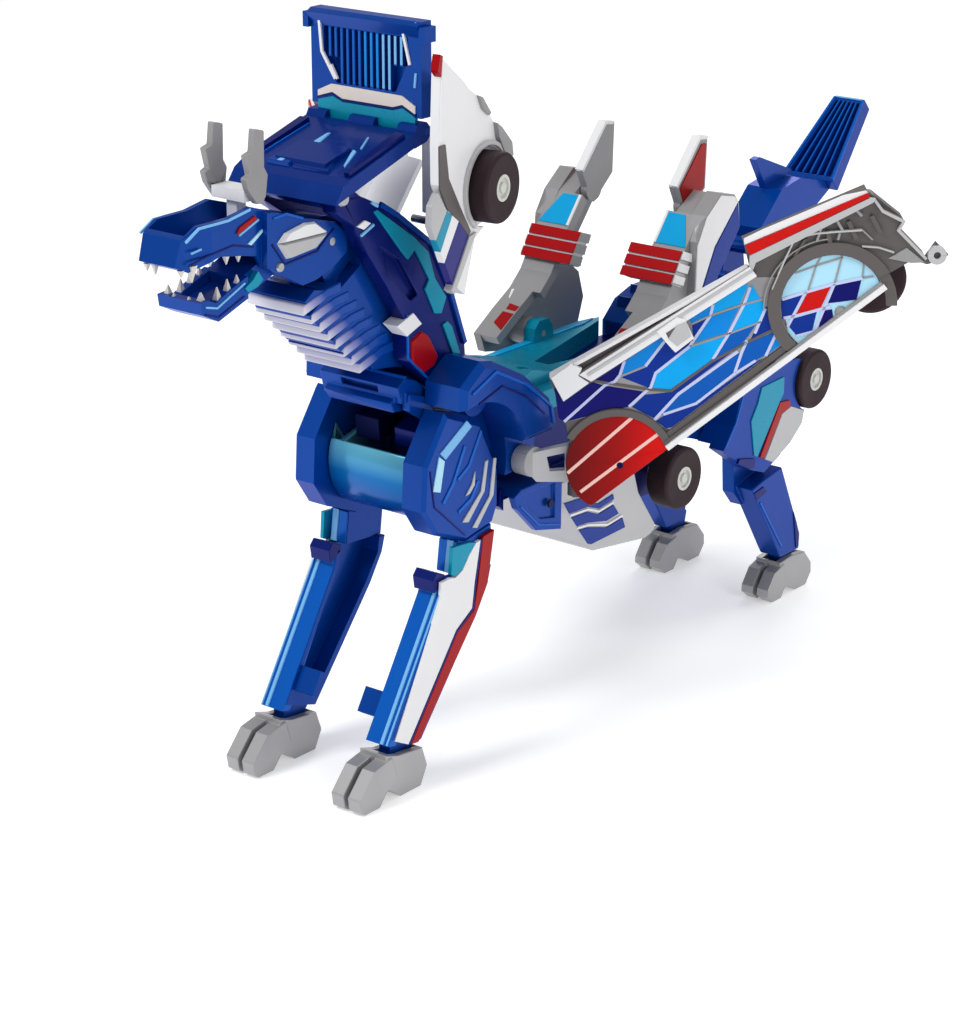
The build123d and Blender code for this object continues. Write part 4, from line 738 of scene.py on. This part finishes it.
for side, hand in SIDES:
    body = "fin_" + hand
    outer = side_face(side, outer_x("fin_left"))
    patch = slope_face((117.2, 120.5), (124.0, 128.8), side)
    low_front = slope_face((88.0, 94.5), (104.5, 104.3), side)
    across = side_face(side, 0)
    shapes = [
        ("cyan", patch, -0.1, 0.3, [(15.4, 0.6), (25.2, 0.6), (20.9, 10.2), (15.4, 10.2)]),
        ("white", patch, -0.1, 0.45, [(14.6, 0.6), (15.4, 0.6), (15.4, 10.4), (14.6, 10.4)]),
        ("red", low_front, -0.1, 0.3, [(17.6, 10.6), (21.0, 10.8), (21.2, 13.2), (17.4, 12.6)]),
        ("red", low_front, -0.1, 0.3, [(17.6, 3.0), (21.6, 5.2), (21.4, 9.8), (17.4, 9.6)]),
        ("white", low_front, -0.1, 0.3, [(22.4, 14.8), (23.0, 15.2), (24.0, 18.4), (23.2, 18.6)]),
        ("white", outer, -0.2, 0.35, [(119.6, 121.6), (123.9, 128.6), (130.8, 133.6), (137.2, 132.2),
                                      (138.8, 130.2), (127.8, 119.8), (121.0, 107.4), (119.0, 107.6)]),
        ("marine", outer, -0.2, 0.3, [(139.0, 129.9), (140.2, 122.9), (129.4, 110.3), (124.0, 104.2),
                                      (121.4, 106.8), (128.2, 119.4)]),
        ("silver", across, 8.9, 25.8, [(110.4, 112.4), (115.0, 119.9), (119.4, 118.0), (115.0, 110.4)]),
    ]
    for step in range(FIN_BARS):
        y = FIN_BAR_START[0] + FIN_BAR_PITCH[0] * step
        z = FIN_BAR_START[1] + FIN_BAR_PITCH[1] * step
        stripe = [(y - 0.5, z - 0.1), (y + 1.1, z + 2.3), (y + 1.7, z + 2.1), (y + 0.1, z - 0.3)]
        shapes.append(("red", across, 8.7, 25.7, stripe))
        cap = [(y + 0.4, z + 0.2), (y + 1.6, z + 2.2), (y + 6.2, z + 0.4), (y + 5.2, z - 1.6)]
        shapes.append(("white", across, 25.6, 26.4, cap))
    piece("fin_trim_" + hand, body, shapes, 0.1)
    blade = side_face(side, BLADE_X)
    shapes = [
        ("red", blade, -0.1, 0.3, [(138.5, 145.4), (136.2, 145.6), (126.0, 134.8), (127.8, 131.0),
                                   (130.4, 127.6), (137.9, 133.2)]),
        ("white", blade, -2.3, 0.4, ribbon([(138.9, 147.0), (135.2, 147.5), (124.4, 135.5)], 1.0)),
    ]
    piece("blade_trim_" + hand, "fin_blade_" + hand, shapes, 0.1)

# ---- hind legs ---------------------------------------------------------------------------

for side, hand in SIDES:
    face = side_face(side, outer_x("hind_thigh_left"))
    shapes = [
        ("teal", face, -0.2, 0.35, [(154.8, 61.6), (158.0, 66.0), (160.0, 70.6), (172.0, 71.0),
                                    (172.0, 66.0), (169.8, 63.6), (158.8, 49.6), (157.0, 50.4)]),
        ("red", face, -0.2, 0.5, [(170.0, 63.6), (175.2, 63.0), (175.8, 60.8), (171.2, 60.0),
                                  (162.2, 48.2), (160.0, 49.2)]),
        ("silver", face, -0.2, 0.5, [(162.8, 47.8), (171.4, 59.8), (176.2, 60.8), (183.4, 57.8),
                                     (182.6, 54.2), (176.2, 49.4), (167.0, 45.8)]),
        ("navy", face, -0.2, 0.6, [(147.8, 50.4), (149.0, 51.6), (157.2, 49.6), (157.0, 46.6),
                                   (154.8, 46.8)]),
        ("royal", face, -0.2, 0.3, ribbon([(141.8, 56.8), (147.0, 63.0), (150.6, 70.8)], 0.6)),
    ]
    piece("thigh_panels_" + hand, "hind_thigh_" + hand, shapes)
    face = side_face(side, outer_x("hind_shin_left"))
    shapes = [
        # Painted shade: a navy plate stands in for the dark notch on the shin.
        ("navy", face, -0.2, 0.3, [(180.2, 26.6), (181.8, 23.4), (183.9, 18.4), (183.8, 14.2),
                                   (182.4, 14.2), (181.4, 19.6)]),
        # Painted highlight along the shin's edge.
        ("royal", face, -0.2, 0.3, ribbon([(161.4, 34.6), (174.2, 17.0)], 0.6)),
        ("navy", face, -0.2, 0.3, [(157.8, 38.4), (159.4, 35.8), (165.0, 37.0), (163.0, 39.2)]),
    ]
    piece("shin_marks_" + hand, "hind_shin_" + hand, shapes)

# ---- torso -------------------------------------------------------------------------------

for side, hand in SIDES:
    shell = side_face(side, outer_x("belly_shell"))
    block = side_face(side, outer_x("chest_frame"))
    flap = side_face(side, outer_x("chest_skirt"))
    across = side_face(side, 0)
    shapes = [
        ("marine", shell, -0.1, 0.35, [(67.8, 60.0), (75.7, 59.4), (79.6, 57.0), (83.6, 55.6),
                                       (90.4, 56.4), (90.8, 54.8), (83.8, 54.0), (78.6, 56.0),
                                       (70.2, 56.4)]),
        ("marine", shell, -0.1, 0.35, [(71.1, 55.0), (78.6, 54.6), (83.6, 52.5), (90.7, 53.2),
                                       (93.2, 50.0), (87.5, 49.4), (78.6, 51.4), (73.7, 51.8)]),
        ("marine", shell, -0.1, 0.35, [(74.6, 50.4), (78.9, 50.0), (87.5, 47.5), (95.0, 48.2),
                                       (96.4, 45.0), (80.4, 44.6), (78.9, 45.2)]),
        ("white", shell, -0.1, 0.45, ribbon([(70.4, 55.8), (78.6, 55.3), (83.6, 53.3), (90.6, 54.0)], 0.6)),
        ("white", shell, -0.1, 0.45, ribbon([(73.7, 51.2), (78.9, 50.7), (87.9, 48.2), (95, 48.9)], 0.6)),
    ]
    piece("belly_stripes_" + hand, "torso", shapes)
    shapes = [
        # Painted highlight: a royal line along the upper edge of the chest frame.
        ("royal", block, -0.2, 0.5, ribbon([(21.4, 103.2), (31.0, 106.8), (44.0, 100.2), (54.2, 92.0),
                                            (55.4, 87.0)], 0.7)),
        ("navy", block, -0.1, 0.3, ribbon([(24.0, 99.8), (33.6, 102.4), (43.6, 97.2), (51.6, 90.6)], 0.6)),
        ("royal", flap, -0.1, 0.3, ribbon([(45.2, 66.0), (53.0, 58.8), (62.4, 56.2)], 0.5)),
        ("ink", flap, -0.1, 0.4, circle((58.4, 63.2), 1.2, steps=16)),
        ("navy", across, 14.4, 20.0, [(42.0, 70.6), (41.6, 66.0), (43.4, 64.4), (43.4, 70.6)]),
    ]
    piece("chest_trim_" + hand, "torso", shapes)

across = side_face(1, 0)
# Blocks in the cavity above the drum: they are blue, and their ink and navy colours are painted shade of
# the cavity.
shapes = [
    ("ink", across, -10.0, -2.0, [(19.6, 85.2), (19.0, 91.4), (24.0, 93.0), (27.0, 86.6)]),
    ("navy", across, 2.5, 9.5, [(20.4, 85.2), (20.0, 90.0), (25.0, 91.6), (28.0, 86.6)]),
    ("ink", across, -12.2, 12.2, [(29.0, 85.0), (29.0, 93.5), (36.0, 94.0), (36.0, 85.0)]),
    ("royal", across, -12.6, 12.6, [(11.2, 105.6), (12.4, 107.4), (13.4, 107.0), (12.2, 105.2)]),
]
piece("chest_inner_blocks_painted_shade", "torso", shapes, 0.2)
shapes = [
    ("navy", toy, 90.8, 91.6, [(-11.0, 62.0), (11.0, 62.0), (9.0, 66.0), (-9.0, 66.0)]),
    ("cyan", toy, 90.8, 91.5, [(13.4, 78.0), (15.8, 78.0), (15.9, 124.0), (14.6, 130.0), (13.2, 124.0)]),
    ("cyan", toy, 90.8, 91.5, [(-13.4, 78.0), (-15.8, 78.0), (-15.9, 124.0), (-14.6, 130.0),
                               (-13.2, 124.0)]),
]
piece("back_plate_trim", "torso", shapes, 0.15)

# ---- tail --------------------------------------------------------------------------------

panel = slope_face((220.6, 118.2), (243.6, 139.2))
# Painted highlights on the blue tail panel: royal lines along its sides and ribs, and a sky line along its
# top edge.
shapes = [
    ("royal", panel, -0.2, 0.4, ribbon([(-8.6, 0.4), (-5.0, 30.6)], 0.8)),
    ("royal", panel, -0.2, 0.4, ribbon([(8.6, 0.4), (5.0, 30.6)], 0.8)),
    ("sky", panel, -0.2, 0.4, ribbon([(-4.8, 30.7), (4.8, 30.7)], 0.5)),
]
for rib in range(-2, 3):
    shapes.append(("royal", panel, -1.6, 0.1, ribbon([(rib * 2.6, 2.0), (rib * 1.5, 29.6)], 0.5)))
piece("tail_ribs", "tail", shapes, 0.1)

# ---- floor, lights and camera ------------------------------------------------------------

floor_mesh = bpy.data.meshes.new("floor")
floor_corners = [(u * FLOOR_HALF, v * FLOOR_HALF, 0) for u, v in ((-1, -1), (1, -1), (1, 1), (-1, 1))]
floor_mesh.from_pydata(floor_corners, [], [(0, 1, 2, 3)])
floor = bpy.data.objects.new("floor", floor_mesh)
bpy.context.scene.collection.objects.link(floor)
floor_mesh.materials.append(plastic("pale_floor", (246, 246, 247), 0.8, coat=0.0, mottle=0.02, grain=0.0))
floor_shader = floor_mesh.materials[0].node_tree.nodes["Principled BSDF"]
floor_shader.inputs["Emission Color"].default_value = WHITE_LIGHT
floor_shader.inputs["Emission Strength"].default_value = FLOOR_GLOW

world = bpy.data.worlds.new("studio")
world.use_nodes = True
world.node_tree.nodes["Background"].inputs["Color"].default_value = WHITE_LIGHT
world.node_tree.nodes["Background"].inputs["Strength"].default_value = WORLD_GLOW
bpy.context.scene.world = world
bpy.context.scene.view_settings.view_transform = "Standard"

TARGET = toy(0, 90, 90)
CAMERA_AT = toy(449.09, -511.37, 317.28)
CAMERA_LOOK = Vector((-0.58295, 0.73815, -0.33956))
CAMERA_LENS = 100.0
CAMERA_SENSOR = 36.0

# Square area lights aimed at the middle of the toy: name, position and size in metres, power in watts.
for name, position, size, power in (
    ("key_light", (-0.35, -0.95, 1.1), 0.45, 9.5),
    ("side_light", (1.1, -0.2, 0.7), 0.5, 3.2),
    ("top_light", (0.1, 0.3, 1.3), 0.6, 4.0),
    ("back_light", (-0.5, 1.1, 0.8), 0.5, 2.6),
):
    light = bpy.data.lights.new(name, "AREA")
    light.size = size
    light.energy = power
    lamp = bpy.data.objects.new(name, light)
    lamp.location = position
    lamp.rotation_euler = (TARGET - Vector(position)).to_track_quat("-Z", "Y").to_euler()
    bpy.context.scene.collection.objects.link(lamp)

camera_data = bpy.data.cameras.new("camera")
camera_data.lens = CAMERA_LENS
camera_data.sensor_width = CAMERA_SENSOR
camera = bpy.data.objects.new("camera", camera_data)
camera.location = CAMERA_AT
camera.rotation_euler = CAMERA_LOOK.to_track_quat("-Z", "Y").to_euler()
bpy.context.scene.collection.objects.link(camera)
bpy.context.scene.camera = camera
